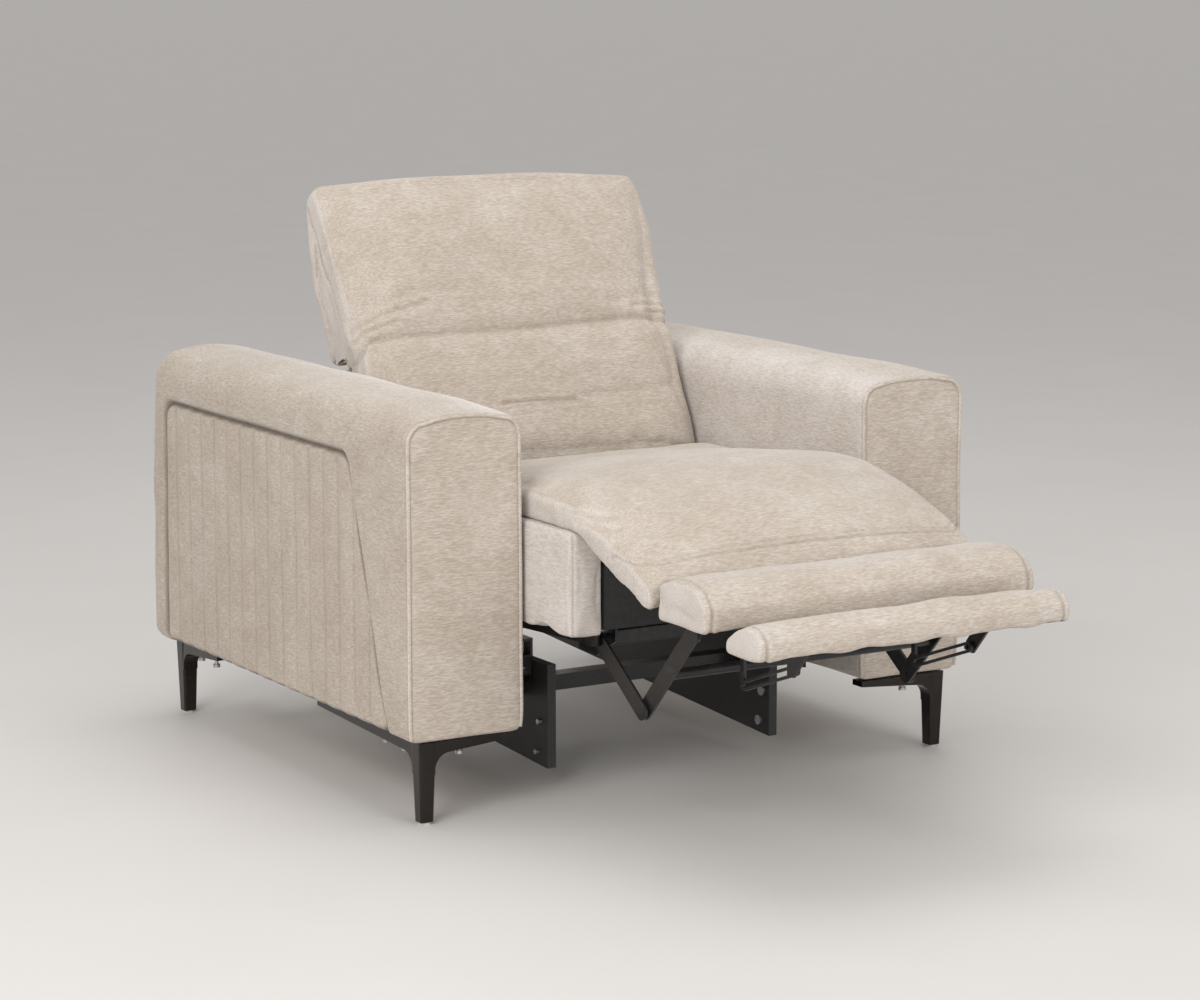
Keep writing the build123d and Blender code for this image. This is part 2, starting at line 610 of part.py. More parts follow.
with BuildPart() as drive_rod:
    rod_front = REAR_TUBE[0] + TUBE_SIZE / 2
    with BuildSketch(Plane.XZ.offset(-rod_front)):
        with Locations((0, DRIVE_Z)):
            Circle(ROD_R)
    extrude(amount=-(TUBE_REAR - SLIDE_TRAVEL - 5 - rod_front))
    with BuildSketch(Plane.XZ.offset(-rod_front)):
        with Locations((0, DRIVE_Z)):
            Rectangle(30, TUBE_SIZE - 5)
    extrude(amount=-ROD_FLANGE)
drive_rod.part.label = "drive_rod"
export_step(drive_rod.part, "parts/drive_rod.step")

with BuildPart() as carriage_pins:
    for _, side in SIDES:
        pin_1_length = CARRIAGE_X + STEEL - INNER_PLATE_X
        with BuildSketch(span(INNER_PLATE_X, side, pin_1_length)):
            with Locations(LINK_1_PIVOT):
                Circle(PIVOT_R)
        extrude(amount=pin_1_length)
        pin_2_length = CARRIAGE_X + STEEL - LINK_1_X + PLATE_GAP
        with BuildSketch(span(LINK_1_X - PLATE_GAP, side, pin_2_length)):
            with Locations(BACK_PIVOT):
                Circle(PIVOT_R)
        extrude(amount=pin_2_length)
        with BuildSketch(span(LINK_1_X - PLATE_GAP - 3, side, 3)):
            with Locations(BACK_PIVOT):
                Circle(2 * PIVOT_R)
        extrude(amount=3)
        with BuildSketch(span(INNER_PLATE_X - 3, side, 3)):
            with Locations(LINK_1_PIVOT):
                Circle(2 * PIVOT_R)
        extrude(amount=3)
carriage_pins.part.label = "carriage_pins"
export_step(carriage_pins.part, "parts/carriage_pins.step")

CORE_HALF = CARRIAGE_X - 8
CORE_BASE = SEAT_DECK - 98
with BuildPart() as seat_core:
    core_front = FRAME_FRONT + RAIL_THICK + FIT_GAP
    core_rear = FRAME_REAR - RAIL_THICK - FIT_GAP
    with BuildSketch(Plane.XY.offset(CORE_BASE)):
        with Locations((0, (core_front + core_rear) / 2)):
            Rectangle(2 * CORE_HALF, core_rear - core_front)
    extrude(amount=SEAT_DECK - CORE_BASE)
seat_core.part.label = "seat_core"
export_step(seat_core.part, "parts/seat_core.step")

WEB_THICK = 2
WEB_WIDTH = 50
with BuildPart() as seat_webbing:
    with BuildSketch(Plane.XY.offset(CORE_BASE - WEB_THICK)):
        with Locations((0, (core_front + core_rear) / 2)):
            with GridLocations(85, 0, 5, 1):
                Rectangle(WEB_WIDTH, core_rear - core_front + 2 * FIT_GAP)
    extrude(amount=WEB_THICK)
seat_webbing.part.label = "seat_webbing"
export_step(seat_webbing.part, "parts/seat_webbing.step")

SEAT_HALF = INNER - SOFT_GAP
SEAT_THICK = 50
with BuildPart() as seat_cushion:
    seat_base = SEAT_DECK + SEAT_REST
    with BuildSketch(Plane.XZ.offset(-SEAT_REAR)):
        with BuildLine():
            Line((-SEAT_HALF, seat_base), (SEAT_HALF, seat_base))
            Line((SEAT_HALF, seat_base), (SEAT_HALF, seat_base + SEAT_THICK - CUSHION_CROWN / 2))
            ThreePointArc(
                (SEAT_HALF, seat_base + SEAT_THICK - CUSHION_CROWN / 2),
                (0, seat_base + SEAT_THICK + CUSHION_CROWN),
                (-SEAT_HALF, seat_base + SEAT_THICK - CUSHION_CROWN / 2),
            )
            Line((-SEAT_HALF, seat_base + SEAT_THICK - CUSHION_CROWN / 2), (-SEAT_HALF, seat_base))
        make_face()
    extrude(amount=SEAT_DEPTH)
    with BuildSketch(Plane.YZ) as seat_side:
        with BuildLine():
            Polyline(
                (NOSE, seat_base),
                (SEAT_REAR - 14, seat_base),
                (SEAT_REAR, seat_base + 36),
                (SEAT_REAR, seat_base + SEAT_THICK),
                (NOSE + 150, seat_base + SEAT_THICK + CUSHION_CROWN + 2),
                (NOSE + 40, seat_base + SEAT_THICK + 4),
                (NOSE, seat_base + SEAT_THICK - 12),
                close=True,
            )
        make_face()
    extrude(amount=SEAT_HALF, both=True, mode=Mode.INTERSECT)
seat_cushion.part.label = "seat_cushion"
export_step(seat_cushion.part, "parts/seat_cushion.step")

# ---- front lip --------------------------------------------------------------------
LIP_SLOPE = 22
LIP_BOARD = 9
LIP_THICK = 48
LIP_HALF = SEAT_HALF - 2
LIP_FRONT = NOSE - LIP_REACH
HINGE_PIN_R = 3
HINGE_KNUCKLE_R = 6
HINGE_XS = (-180, 0, 180)
HINGE_LENGTH = 50


def lip_point(out, up):
    """A point from the lip's hinge: out along the lip, up square to it."""
    return (
        LIP_HINGE[0] - out * cos(radians(LIP_SLOPE)) - up * sin(radians(LIP_SLOPE)),
        LIP_HINGE[1] - out * sin(radians(LIP_SLOPE)) + up * cos(radians(LIP_SLOPE)),
    )


with BuildPart() as lip_board:
    lip_length = LIP_REACH - 4
    with BuildSketch(Plane.YZ.offset(-LIP_HALF + 12)):
        with BuildLine():
            Polyline(
                lip_point(9, 0),
                lip_point(lip_length, 0),
                lip_point(lip_length, LIP_BOARD),
                lip_point(9, LIP_BOARD),
                close=True,
            )
        make_face()
    extrude(amount=2 * (LIP_HALF - 12))
lip_board.part.label = "lip_board"
export_step(lip_board.part, "parts/lip_board.step")

with BuildPart() as lip_cushion:
    lip_base = LIP_BOARD + FIT_GAP
    lip_end = lip_point(LIP_REACH, lip_base)
    lip_side = [
        lip_point(6, lip_base + 4),
        lip_point(12, lip_base),
        lip_point(LIP_REACH - 4, lip_base),
        (LIP_FRONT + 2, lip_end[1] + 8),
        (LIP_FRONT, lip_end[1] + 38),
        lip_point(LIP_REACH - 24, lip_base + LIP_THICK),
        lip_point(8, lip_base + LIP_THICK - 8),
    ]
    with BuildSketch(Plane.YZ.offset(-LIP_HALF)):
        with BuildLine():
            Polyline(*lip_side, close=True)
        make_face()
    extrude(amount=2 * LIP_HALF)
    fillet(lip_cushion.faces().group_by(Axis.X)[0].edges().group_by(Axis.Z)[-1], 16)
    fillet(lip_cushion.faces().group_by(Axis.X)[-1].edges().group_by(Axis.Z)[-1], 16)
lip_cushion.part.label = "lip_cushion"
export_step(lip_cushion.part, "parts/lip_cushion.step")

with BuildPart() as lip_hinge_pins:
    for x in HINGE_XS:
        with BuildSketch(Plane.YZ.offset(x - HINGE_LENGTH / 2)):
            with Locations(LIP_HINGE):
                Circle(HINGE_PIN_R)
        extrude(amount=HINGE_LENGTH)
        for end in (-1, 1):
            knuckle_x = x + end * HINGE_LENGTH / 2 - (HINGE_LENGTH / 4 if end > 0 else 0)
            with BuildSketch(Plane.YZ.offset(knuckle_x)):
                with Locations(LIP_HINGE):
                    Circle(HINGE_KNUCKLE_R)
                leaf_back = FRAME_FRONT - LIP_HINGE[0]
                with Locations((LIP_HINGE[0] + leaf_back / 2, LIP_HINGE[1] - 2)):
                    Rectangle(leaf_back, 8)
            extrude(amount=HINGE_LENGTH / 4)
lip_hinge_pins.part.label = "lip_hinge_pins"
export_step(lip_hinge_pins.part, "parts/lip_hinge_pins.step")

with BuildPart() as lip_hinge_leaves:
    leaf_length = HINGE_LENGTH / 2 - 2 * SLIDE_GAP
    for x in HINGE_XS:
        with BuildSketch(Plane.YZ.offset(x - leaf_length / 2)):
            with Locations(LIP_HINGE):
                Circle(HINGE_KNUCKLE_R)
            with BuildLine():
                Polyline(
                    lip_point(0, 0),
                    lip_point(34, 0),
                    lip_point(34, -3),
                    lip_point(0, -3),
                    close=True,
                )
            make_face()
            with Locations(LIP_HINGE):
                Circle(HINGE_PIN_R + PIN_CLEARANCE, mode=Mode.SUBTRACT)
        extrude(amount=leaf_length)
lip_hinge_leaves.part.label = "lip_hinge_leaves"
export_step(lip_hinge_leaves.part, "parts/lip_hinge_leaves.step")

# ---- footrest links ---------------------------------------------------------------
LINK_TUBE_SHARE = 0.47    # cross tube, from the middle joint towards the foot pivot
LINK_TUBE_R = 8
LINK_TUBE_SPOT = (
    LINK_JOINT[0] + LINK_TUBE_SHARE * (FOOT_PIVOT[0] - LINK_JOINT[0]),
    LINK_JOINT[1] + LINK_TUBE_SHARE * (FOOT_PIVOT[1] - LINK_JOINT[1]),
)
RIVET_PROUD = 1


def middle(a, b):
    return ((a[0] + b[0]) / 2, (a[1] + b[1]) / 2)


def reach(a, b):
    return ((a[0] - b[0]) ** 2 + (a[1] - b[1]) ** 2) ** 0.5


def tilt(a, b):
    return degrees(atan2(b[1] - a[1], b[0] - a[0]))


with BuildPart() as front_links:
    rivet_length = STEEL + PLATE_GAP + STEEL + RIVET_PROUD
    for _, side in SIDES:
        with BuildSketch(span(LINK_1_X, side, STEEL)):
            with Locations(middle(LINK_1_PIVOT, LINK_JOINT)):
                SlotCenterToCenter(reach(LINK_1_PIVOT, LINK_JOINT), 2 * LINK_R,
                                   rotation=tilt(LINK_1_PIVOT, LINK_JOINT))
            with Locations(LINK_1_PIVOT):
                Circle(PIVOT_R + PIN_CLEARANCE, mode=Mode.SUBTRACT)
        extrude(amount=STEEL)
        with BuildSketch(span(LINK_2_X - RIVET_PROUD, side, rivet_length)):
            with Locations(LINK_JOINT):
                Circle(PIVOT_R)
        extrude(amount=rivet_length)
front_links.part.label = "front_links"
export_step(front_links.part, "parts/front_links.step")

with BuildPart() as foot_links:
    for _, side in SIDES:
        with BuildSketch(span(LINK_2_X, side, STEEL)):
            with Locations(middle(LINK_JOINT, FOOT_PIVOT)):
                SlotCenterToCenter(reach(LINK_JOINT, FOOT_PIVOT), 2 * LINK_R,
                                   rotation=tilt(LINK_JOINT, FOOT_PIVOT))
            with Locations(LINK_JOINT):
                Circle(PIVOT_R + PIN_CLEARANCE, mode=Mode.SUBTRACT)
        extrude(amount=STEEL)
        with BuildSketch(span(FOOT_PLATE_X - RIVET_PROUD, side, rivet_length)):
            with Locations(FOOT_PIVOT):
                Circle(PIVOT_R)
        extrude(amount=rivet_length)
foot_links.part.label = "foot_links"
export_step(foot_links.part, "parts/foot_links.step")

with BuildPart() as link_tube:
    with BuildSketch(Plane.YZ.offset(-LINK_2_X)):
        with Locations(LINK_TUBE_SPOT):
            Circle(LINK_TUBE_R)
            Circle(LINK_TUBE_R - 2, mode=Mode.SUBTRACT)
    extrude(amount=2 * LINK_2_X)
link_tube.part.label = "link_tube"
export_step(link_tube.part, "parts/link_tube.step")

# ---- first footrest pad -------------------------------------------------------------
PAD_GAP = 3
PAD_HALF = BACK_HALF_WIDTH
PAD_TOP = SEAT_DECK - 25
PAD_1_REAR = LIP_FRONT - PAD_GAP
PAD_1_FRONT = PAD_1_REAR - PAD_1_DEPTH
PAD_1_BASE = PAD_TOP - PAD_1_THICK
PAD_BOARD = 9
FLANGE_THICK = 3
FLANGE_WIDTH = 26
SLOPE = 20                # the second pad's slide, degrees below level
RAIL_X = 150
SLIDE_RAIL_THICK = 5
SLIDE_RAIL_R = 8
PAD_2_TRAVEL = 125
RAIL_FRONT = (PAD_1_REAR - 145, PAD_1_BASE - 62)
RAIL_LENGTH = 138
RAIL_BACK = (
    RAIL_FRONT[0] + RAIL_LENGTH * cos(radians(SLOPE)),
    RAIL_FRONT[1] - RAIL_LENGTH * sin(radians(SLOPE)),
)
SLOT_R = 3.5
STUD_R = 3

with BuildPart() as foot_board:
    with BuildSketch(Plane.XY.offset(PAD_1_BASE)):
        with Locations((0, PAD_1_REAR - PAD_1_DEPTH / 2)):
            Rectangle(2 * PAD_HALF - 40, PAD_1_DEPTH - 34)
    extrude(amount=PAD_BOARD)
foot_board.part.label = "foot_board"
export_step(foot_board.part, "parts/foot_board.step")

with BuildPart() as foot_cushion:
    with BuildSketch(Plane.YZ.offset(-PAD_HALF)):
        with Locations((PAD_1_REAR - PAD_1_DEPTH / 2, PAD_1_BASE + PAD_1_THICK / 2)):
            pad_1_side = Rectangle(PAD_1_DEPTH, PAD_1_THICK)
        fillet(pad_1_side.vertices().group_by(Axis.X)[0], 25)
        fillet(pad_1_side.vertices().group_by(Axis.X)[-1].sort_by(Axis.Y)[-1], 12)
    extrude(amount=2 * PAD_HALF)
    with BuildSketch(Plane.XY.offset(PAD_1_BASE)):
        with Locations((0, PAD_1_REAR - PAD_1_DEPTH / 2)):
            Rectangle(2 * (PAD_HALF - 20 + FIT_GAP), PAD_1_DEPTH - 34 + 2 * FIT_GAP)
    extrude(amount=PAD_BOARD + FIT_GAP, mode=Mode.SUBTRACT)
foot_cushion.part.label = "foot_cushion"
export_step(foot_cushion.part, "parts/foot_cushion.step")

with BuildPart() as foot_brackets:
    ear_front = FOOT_PIVOT[0] - 11
    ear_back = FOOT_PIVOT[0] + 12
    flange_front = PAD_1_FRONT + 24
    for _, side in SIDES:
        with BuildSketch(span(FOOT_PLATE_X, side, STEEL)):
            with Locations(FOOT_PIVOT):
                Circle(12)
            with Locations(((ear_front + ear_back) / 2, (FOOT_PIVOT[1] + PAD_1_BASE) / 2)):
                Rectangle(ear_back - ear_front, PAD_1_BASE - FOOT_PIVOT[1])
            with Locations(FOOT_PIVOT):
                Circle(PIVOT_R + PIN_CLEARANCE, mode=Mode.SUBTRACT)
        extrude(amount=STEEL)
        with BuildSketch(Plane.XY.offset(PAD_1_BASE)):
            flange_x = side * (FOOT_PLATE_X + STEEL - FLANGE_WIDTH / 2)
            with Locations((flange_x, (flange_front + ear_back) / 2)):
                Rectangle(FLANGE_WIDTH, ear_back - flange_front)
        extrude(amount=-FLANGE_THICK)
foot_brackets.part.label = "foot_brackets"
export_step(foot_brackets.part, "parts/foot_brackets.step")

with BuildPart() as slide_rails:
    hanger_y = RAIL_BACK[0] + 3
    for _, side in SIDES:
        with BuildSketch(span(RAIL_X, side, SLIDE_RAIL_THICK)):
            with Locations(middle(RAIL_FRONT, RAIL_BACK)):
                SlotCenterToCenter(RAIL_LENGTH, 2 * SLIDE_RAIL_R, rotation=-SLOPE)
                SlotCenterToCenter(RAIL_LENGTH - 4, 2 * SLOT_R, rotation=-SLOPE,
                                   mode=Mode.SUBTRACT)
            with Locations((hanger_y, (RAIL_BACK[1] + 4 + PAD_1_BASE) / 2)):
                Rectangle(9, PAD_1_BASE - RAIL_BACK[1] - 4)
        extrude(amount=SLIDE_RAIL_THICK)
        with BuildSketch(Plane.XY.offset(PAD_1_BASE)):
            with Locations((side * (RAIL_X + SLIDE_RAIL_THICK / 2), hanger_y - 6)):
                Rectangle(24, 30)
        extrude(amount=-FLANGE_THICK)
slide_rails.part.label = "slide_rails"
export_step(slide_rails.part, "parts/slide_rails.step")

# ---- second footrest pad --------------------------------------------------------------
PAD_2_TOP = PAD_TOP - PAD_2_DROP
PAD_2_BASE = PAD_2_TOP - PAD_2_THICK
PAD_2_REAR = PAD_1_FRONT - PAD_GAP
PAD_2_FRONT = ARM_FRONT - FOOT_REACH
PAD_2_HALF = PAD_HALF - 15
PAD_2_DEPTH = PAD_2_REAR - PAD_2_FRONT
STUD_SPOT = (
    RAIL_FRONT[0] + 4 * cos(radians(SLOPE)),
    RAIL_FRONT[1] - 4 * sin(radians(SLOPE)),
)
BAR_HALF = 215

with BuildPart() as extension_board:
    with BuildSketch(Plane.XY.offset(PAD_2_BASE)):
        with Locations((0, PAD_2_REAR - PAD_2_DEPTH / 2)):
            Rectangle(2 * PAD_2_HALF - 40, PAD_2_DEPTH - 40)
    extrude(amount=PAD_BOARD)
extension_board.part.label = "extension_board"
export_step(extension_board.part, "parts/extension_board.step")

with BuildPart() as extension_cushion:
    with BuildSketch(Plane.YZ.offset(-PAD_2_HALF)) as pad_2_side:
        with BuildLine():
            Polyline(
                (PAD_2_FRONT, PAD_2_BASE),
                (PAD_2_REAR, PAD_2_BASE),
                (PAD_2_REAR, PAD_2_BASE + 16),
                (PAD_2_FRONT + 46, PAD_2_TOP),
                (PAD_2_FRONT, PAD_2_TOP),
                close=True,
            )
        make_face()
        fillet(pad_2_side.vertices().group_by(Axis.X)[0], 20)
    extrude(amount=2 * PAD_2_HALF)
    with BuildSketch(Plane.XY.offset(PAD_2_BASE)):
        with Locations((0, PAD_2_REAR - PAD_2_DEPTH / 2)):
            Rectangle(2 * (PAD_2_HALF - 20 + FIT_GAP), PAD_2_DEPTH - 40 + 2 * FIT_GAP)
    extrude(amount=PAD_BOARD + FIT_GAP, mode=Mode.SUBTRACT)
extension_cushion.part.label = "extension_cushion"
export_step(extension_cushion.part, "parts/extension_cushion.step")

# cross bar with a slide shoe welded under each side
with BuildPart() as extension_bar:
    bar_y = PAD_2_REAR - 44
    shoe_x = RAIL_X + SLIDE_RAIL_THICK + SLIDE_GAP
    stud_length = SLIDE_RAIL_THICK + 2 * SLIDE_GAP + 2
    with BuildSketch(Plane.XY.offset(PAD_2_BASE)):
        with Locations((0, bar_y)):
            SlotOverall(2 * BAR_HALF, 28)
            with Locations((BAR_HALF - 30, 0), (-BAR_HALF + 30, 0)):
                SlotOverall(26, 9, mode=Mode.SUBTRACT)
    extrude(amount=-5)
    for _, side in SIDES:
        with BuildSketch(span(shoe_x, side, STEEL)):
            with BuildLine():
                Polyline(
                    (STUD_SPOT[0] - 8, STUD_SPOT[1] - 8),
                    (STUD_SPOT[0] + 8, STUD_SPOT[1] - 8),
                    (STUD_SPOT[0] + 8, STUD_SPOT[1] + 8),
                    (bar_y + 20, PAD_2_BASE),
                    (bar_y, PAD_2_BASE),
                    (bar_y, PAD_2_BASE - 12),
                    close=True,
                )
            make_face()
        extrude(amount=STEEL)
        with BuildSketch(span(shoe_x - stud_length + 0.5, side, stud_length)):
            with Locations(STUD_SPOT):
                Circle(STUD_R)
        extrude(amount=stud_length)
extension_bar.part.label = "extension_bar"
export_step(extension_bar.part, "parts/extension_bar.step")

# ---- back ---------------------------------------------------------------------------
LUMBAR_FOOT = seat_point(600, -8)
FRAME_STOCK = 22
PANEL_STOCK = 22
WEB_GAP = 4
STILE_WIDTH = 45
PANEL_WALL = 22
HEAD_PLATE_X = BACK_HALF_WIDTH - PANEL_WALL - STEEL - 1
STILE_X = HEAD_PLATE_X - STILE_WIDTH
BACK_BRACKET_X = LINK_1_X


def back_point(up, behind):
    """A point of the back: up along the lumbar face, behind it square to the face."""
    return (
        LUMBAR_FOOT[0] + up * sin(radians(BACK_LEAN)) + behind * cos(radians(BACK_LEAN)),
        LUMBAR_FOOT[1] + up * cos(radians(BACK_LEAN)) - behind * sin(radians(BACK_LEAN)),
    )


def slab(low, high, near, far):
    """Four corners of a block of the back's section."""
    return [
        back_point(low, near),
        back_point(high, near),
        back_point(high, far),
        back_point(low, far),
    ]


with BuildPart() as lumbar_cushion:
    with BuildSketch(Plane.YZ.offset(-BACK_HALF_WIDTH)) as lumbar_side:
        with BuildLine():
            Polyline(*slab(0, LUMBAR_HEIGHT, 0, LUMBAR_THICK), close=True)
        make_face()
    extrude(amount=2 * BACK_HALF_WIDTH)
    fillet(lumbar_cushion.faces().sort_by(Axis.Y)[0].edges().filter_by(Axis.X, reverse=True), 20)
lumbar_cushion.part.label = "lumbar_cushion"
export_step(lumbar_cushion.part, "parts/lumbar_cushion.step")

FRAME_NEAR = LUMBAR_THICK + WEB_GAP
FRAME_FAR = FRAME_NEAR + FRAME_STOCK
BACK_LOW = -60
FRAME_TOP = LUMBAR_HEIGHT - 12
with BuildPart() as back_frame:
    for _, side in SIDES:
        with BuildSketch(span(STILE_X, side, STILE_WIDTH)):
            with BuildLine():
                Polyline(*slab(BACK_LOW, FRAME_TOP, FRAME_NEAR, FRAME_FAR), close=True)
            make_face()
        extrude(amount=STILE_WIDTH)
    for low in (BACK_LOW, 70, FRAME_TOP - 50):
        with BuildSketch(Plane.YZ.offset(-STILE_X)):
            with BuildLine():
                Polyline(*slab(low, low + 50, FRAME_NEAR, FRAME_FAR), close=True)
            make_face()
        extrude(amount=2 * STILE_X)
back_frame.part.label = "back_frame"
export_step(back_frame.part, "parts/back_frame.step")

with BuildPart() as back_webbing:
    for low in (5, 60, 115):
        with BuildSketch(Plane.YZ.offset(-BACK_HALF_WIDTH + 24)):
            with BuildLine():
                Polyline(*slab(low, low + 40, LUMBAR_THICK + 1, FRAME_NEAR), close=True)
            make_face()
        extrude(amount=2 * (BACK_HALF_WIDTH - 24))
back_webbing.part.label = "back_webbing"
export_step(back_webbing.part, "parts/back_webbing.step")

with BuildPart() as back_panel:
    with BuildSketch(Plane.YZ.offset(-BACK_HALF_WIDTH)):
        with BuildLine():
            Polyline(*slab(BACK_LOW - 2, FRAME_TOP + 6, LUMBAR_THICK + 1, FRAME_FAR + PANEL_STOCK),
                     close=True)
        make_face()
    extrude(amount=2 * BACK_HALF_WIDTH)
    with BuildSketch(Plane.YZ.offset(-BACK_HALF_WIDTH + PANEL_WALL - FIT_GAP)):
        with BuildLine():
            Polyline(*slab(BACK_LOW - 4, FRAME_TOP + 8, LUMBAR_THICK, FRAME_FAR + FIT_GAP),
                     close=True)
        make_face()
    extrude(amount=2 * (BACK_HALF_WIDTH - PANEL_WALL + FIT_GAP), mode=Mode.SUBTRACT)
back_panel.part.label = "back_panel"
export_step(back_panel.part, "parts/back_panel.step")

with BuildPart() as back_brackets:
    for _, side in SIDES:
        with BuildSketch(span(BACK_BRACKET_X, side, STEEL)):
            with BuildLine():
                Polyline(
                    (BACK_PIVOT[0] - 15, BACK_PIVOT[1]),
                    (BACK_PIVOT[0], BACK_PIVOT[1] - 16),
                    back_point(-58, FRAME_NEAR),
                    back_point(-8, FRAME_NEAR),
                    (BACK_PIVOT[0], BACK_PIVOT[1] + 14),
                    close=True,
                )
            make_face()
            with Locations(BACK_PIVOT):
                Circle(16)
            with Locations(BACK_PIVOT):
                Circle(PIVOT_R + PIN_CLEARANCE, mode=Mode.SUBTRACT)
        extrude(amount=STEEL)
back_brackets.part.label = "back_brackets"
export_step(back_brackets.part, "parts/back_brackets.step")

# ---- headrest -------------------------------------------------------------------------
HEAD_FOOT = back_point(LUMBAR_HEIGHT + 24, 3)
HINGE_UP = LUMBAR_HEIGHT + 14
HINGE_BEHIND = 35
HEAD_HINGE = back_point(HINGE_UP, HINGE_BEHIND)
HEAD_HINGE_R = 8.5
HEAD_HALF = BACK_HALF_WIDTH + 5
HEAD_ARM_X = HEAD_PLATE_X - STEEL - PLATE_GAP
HEAD_BOARD_NEAR = 70
HEAD_BOARD = 12
HEAD_BOARD_TOP = HEADREST_HEIGHT - 32
HEAD_BOARD_FAR = HEAD_BOARD_NEAR + HEAD_BOARD - FIT_GAP


def head_point(up, behind):
    """A point of the headrest: up along its face, behind it square to the face."""
    return (
        HEAD_FOOT[0] + up * sin(radians(HEADREST_LEAN)) + behind * cos(radians(HEADREST_LEAN)),
        HEAD_FOOT[1] + up * cos(radians(HEADREST_LEAN)) - behind * sin(radians(HEADREST_LEAN)),
    )


def head_slab(low, high, near, far):
    """Four corners of a block of the headrest's section."""
    return [
        head_point(low, near),
        head_point(high, near),
        head_point(high, far),
        head_point(low, far),
    ]


with BuildPart() as headrest_hinges:
    for _, side in SIDES:
        with BuildSketch(span(HEAD_PLATE_X, side, STEEL)):
            with BuildLine():
                Polyline(
                    back_point(FRAME_TOP - 60, FRAME_NEAR + 2),
                    back_point(FRAME_TOP - 60, FRAME_FAR - 2),
                    back_point(FRAME_TOP + 10, FRAME_FAR - 2),
                    back_point(HINGE_UP, FRAME_NEAR - 12),
                    back_point(HINGE_UP + HEAD_HINGE_R, HINGE_BEHIND + 14),
                    back_point(HINGE_UP + HEAD_HINGE_R, HINGE_BEHIND),
                    back_point(HINGE_UP - HEAD_HINGE_R, HINGE_BEHIND),
                    back_point(HINGE_UP - HEAD_HINGE_R, FRAME_NEAR - 2),
                    back_point(FRAME_TOP + 2, FRAME_NEAR + 2),
                    close=True,
                )
            make_face()
            with Locations(HEAD_HINGE):
                Circle(HEAD_HINGE_R)
        extrude(amount=STEEL)
        head_pin_length = HEAD_PLATE_X - HEAD_ARM_X + STEEL
        with BuildSketch(span(HEAD_ARM_X - 1, side, head_pin_length + 1)):
            with Locations(HEAD_HINGE):
                Circle(PIVOT_R - 1)
        extrude(amount=head_pin_length + 1)
headrest_hinges.part.label = "headrest_hinges"
export_step(headrest_hinges.part, "parts/headrest_hinges.step")

with BuildPart() as headrest_arms:
    for _, side in SIDES:
        with BuildSketch(span(HEAD_ARM_X, side, STEEL)):
            with BuildLine():
                Polyline(
                    back_point(HINGE_UP - HEAD_HINGE_R, HINGE_BEHIND),
                    back_point(HINGE_UP - HEAD_HINGE_R + 2, HINGE_BEHIND + 30),
                    head_point(-16, HEAD_BOARD_FAR + 18),
                    head_point(70, HEAD_BOARD_FAR + 18),
                    head_point(70, HEAD_BOARD_FAR),
                    head_point(2, HEAD_BOARD_FAR),
                    back_point(HINGE_UP + HEAD_HINGE_R, HINGE_BEHIND + 12),
                    back_point(HINGE_UP + HEAD_HINGE_R, HINGE_BEHIND),
                    close=True,
                )
            make_face()
            with Locations(HEAD_HINGE):
                Circle(HEAD_HINGE_R)
            with Locations(HEAD_HINGE):
                Circle(PIVOT_R - 1 + PIN_CLEARANCE, mode=Mode.SUBTRACT)
        extrude(amount=STEEL)
headrest_arms.part.label = "headrest_arms"
export_step(headrest_arms.part, "parts/headrest_arms.step")

with BuildPart() as headrest_cushion:
    board_half = HEAD_HALF - 24
    with BuildSketch(Plane.YZ.offset(-HEAD_HALF)):
        with BuildLine():
            Polyline(
                head_point(0, 0),
                head_point(HEADREST_HEIGHT, 0),
                head_point(HEADREST_HEIGHT + 20, 40),
                head_point(HEADREST_HEIGHT + 28, 105),
                head_point(140, 148),
                head_point(16, 168),
                head_point(-10, 160),
                head_point(6, 60),
                close=True,
            )
        make_face()
    extrude(amount=2 * HEAD_HALF)
    with BuildSketch(Plane.YZ.offset(-board_half)):
        with BuildLine():
            Polyline(*head_slab(-30, HEAD_BOARD_TOP + 2, HEAD_BOARD_NEAR,
                                HEAD_BOARD_NEAR + HEAD_BOARD), close=True)
        make_face()
    extrude(amount=2 * board_half, mode=Mode.SUBTRACT)
    for _, side in SIDES:
        slot_x = HEAD_ARM_X - PLATE_GAP
        slot_width = HEAD_PLATE_X + STEEL + PLATE_GAP - slot_x
        with BuildSketch(span(slot_x, side, slot_width)):
            with BuildLine():
                Polyline(*head_slab(-40, 74, HEAD_BOARD_NEAR - 24, HEAD_BOARD_FAR + 30),
                         close=True)
            make_face()
        extrude(amount=slot_width, mode=Mode.SUBTRACT)
headrest_cushion.part.label = "headrest_cushion"
export_step(headrest_cushion.part, "parts/headrest_cushion.step")

with BuildPart() as headrest_board:
    with BuildSketch(Plane.YZ.offset(-board_half + FIT_GAP)):
        with BuildLine():
            Polyline(*head_slab(4, HEAD_BOARD_TOP, HEAD_BOARD_NEAR + FIT_GAP, HEAD_BOARD_FAR),
                     close=True)
        make_face()
    extrude(amount=2 * (board_half - FIT_GAP))
headrest_board.part.label = "headrest_board"
export_step(headrest_board.part, "parts/headrest_board.step")
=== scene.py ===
import json
import math

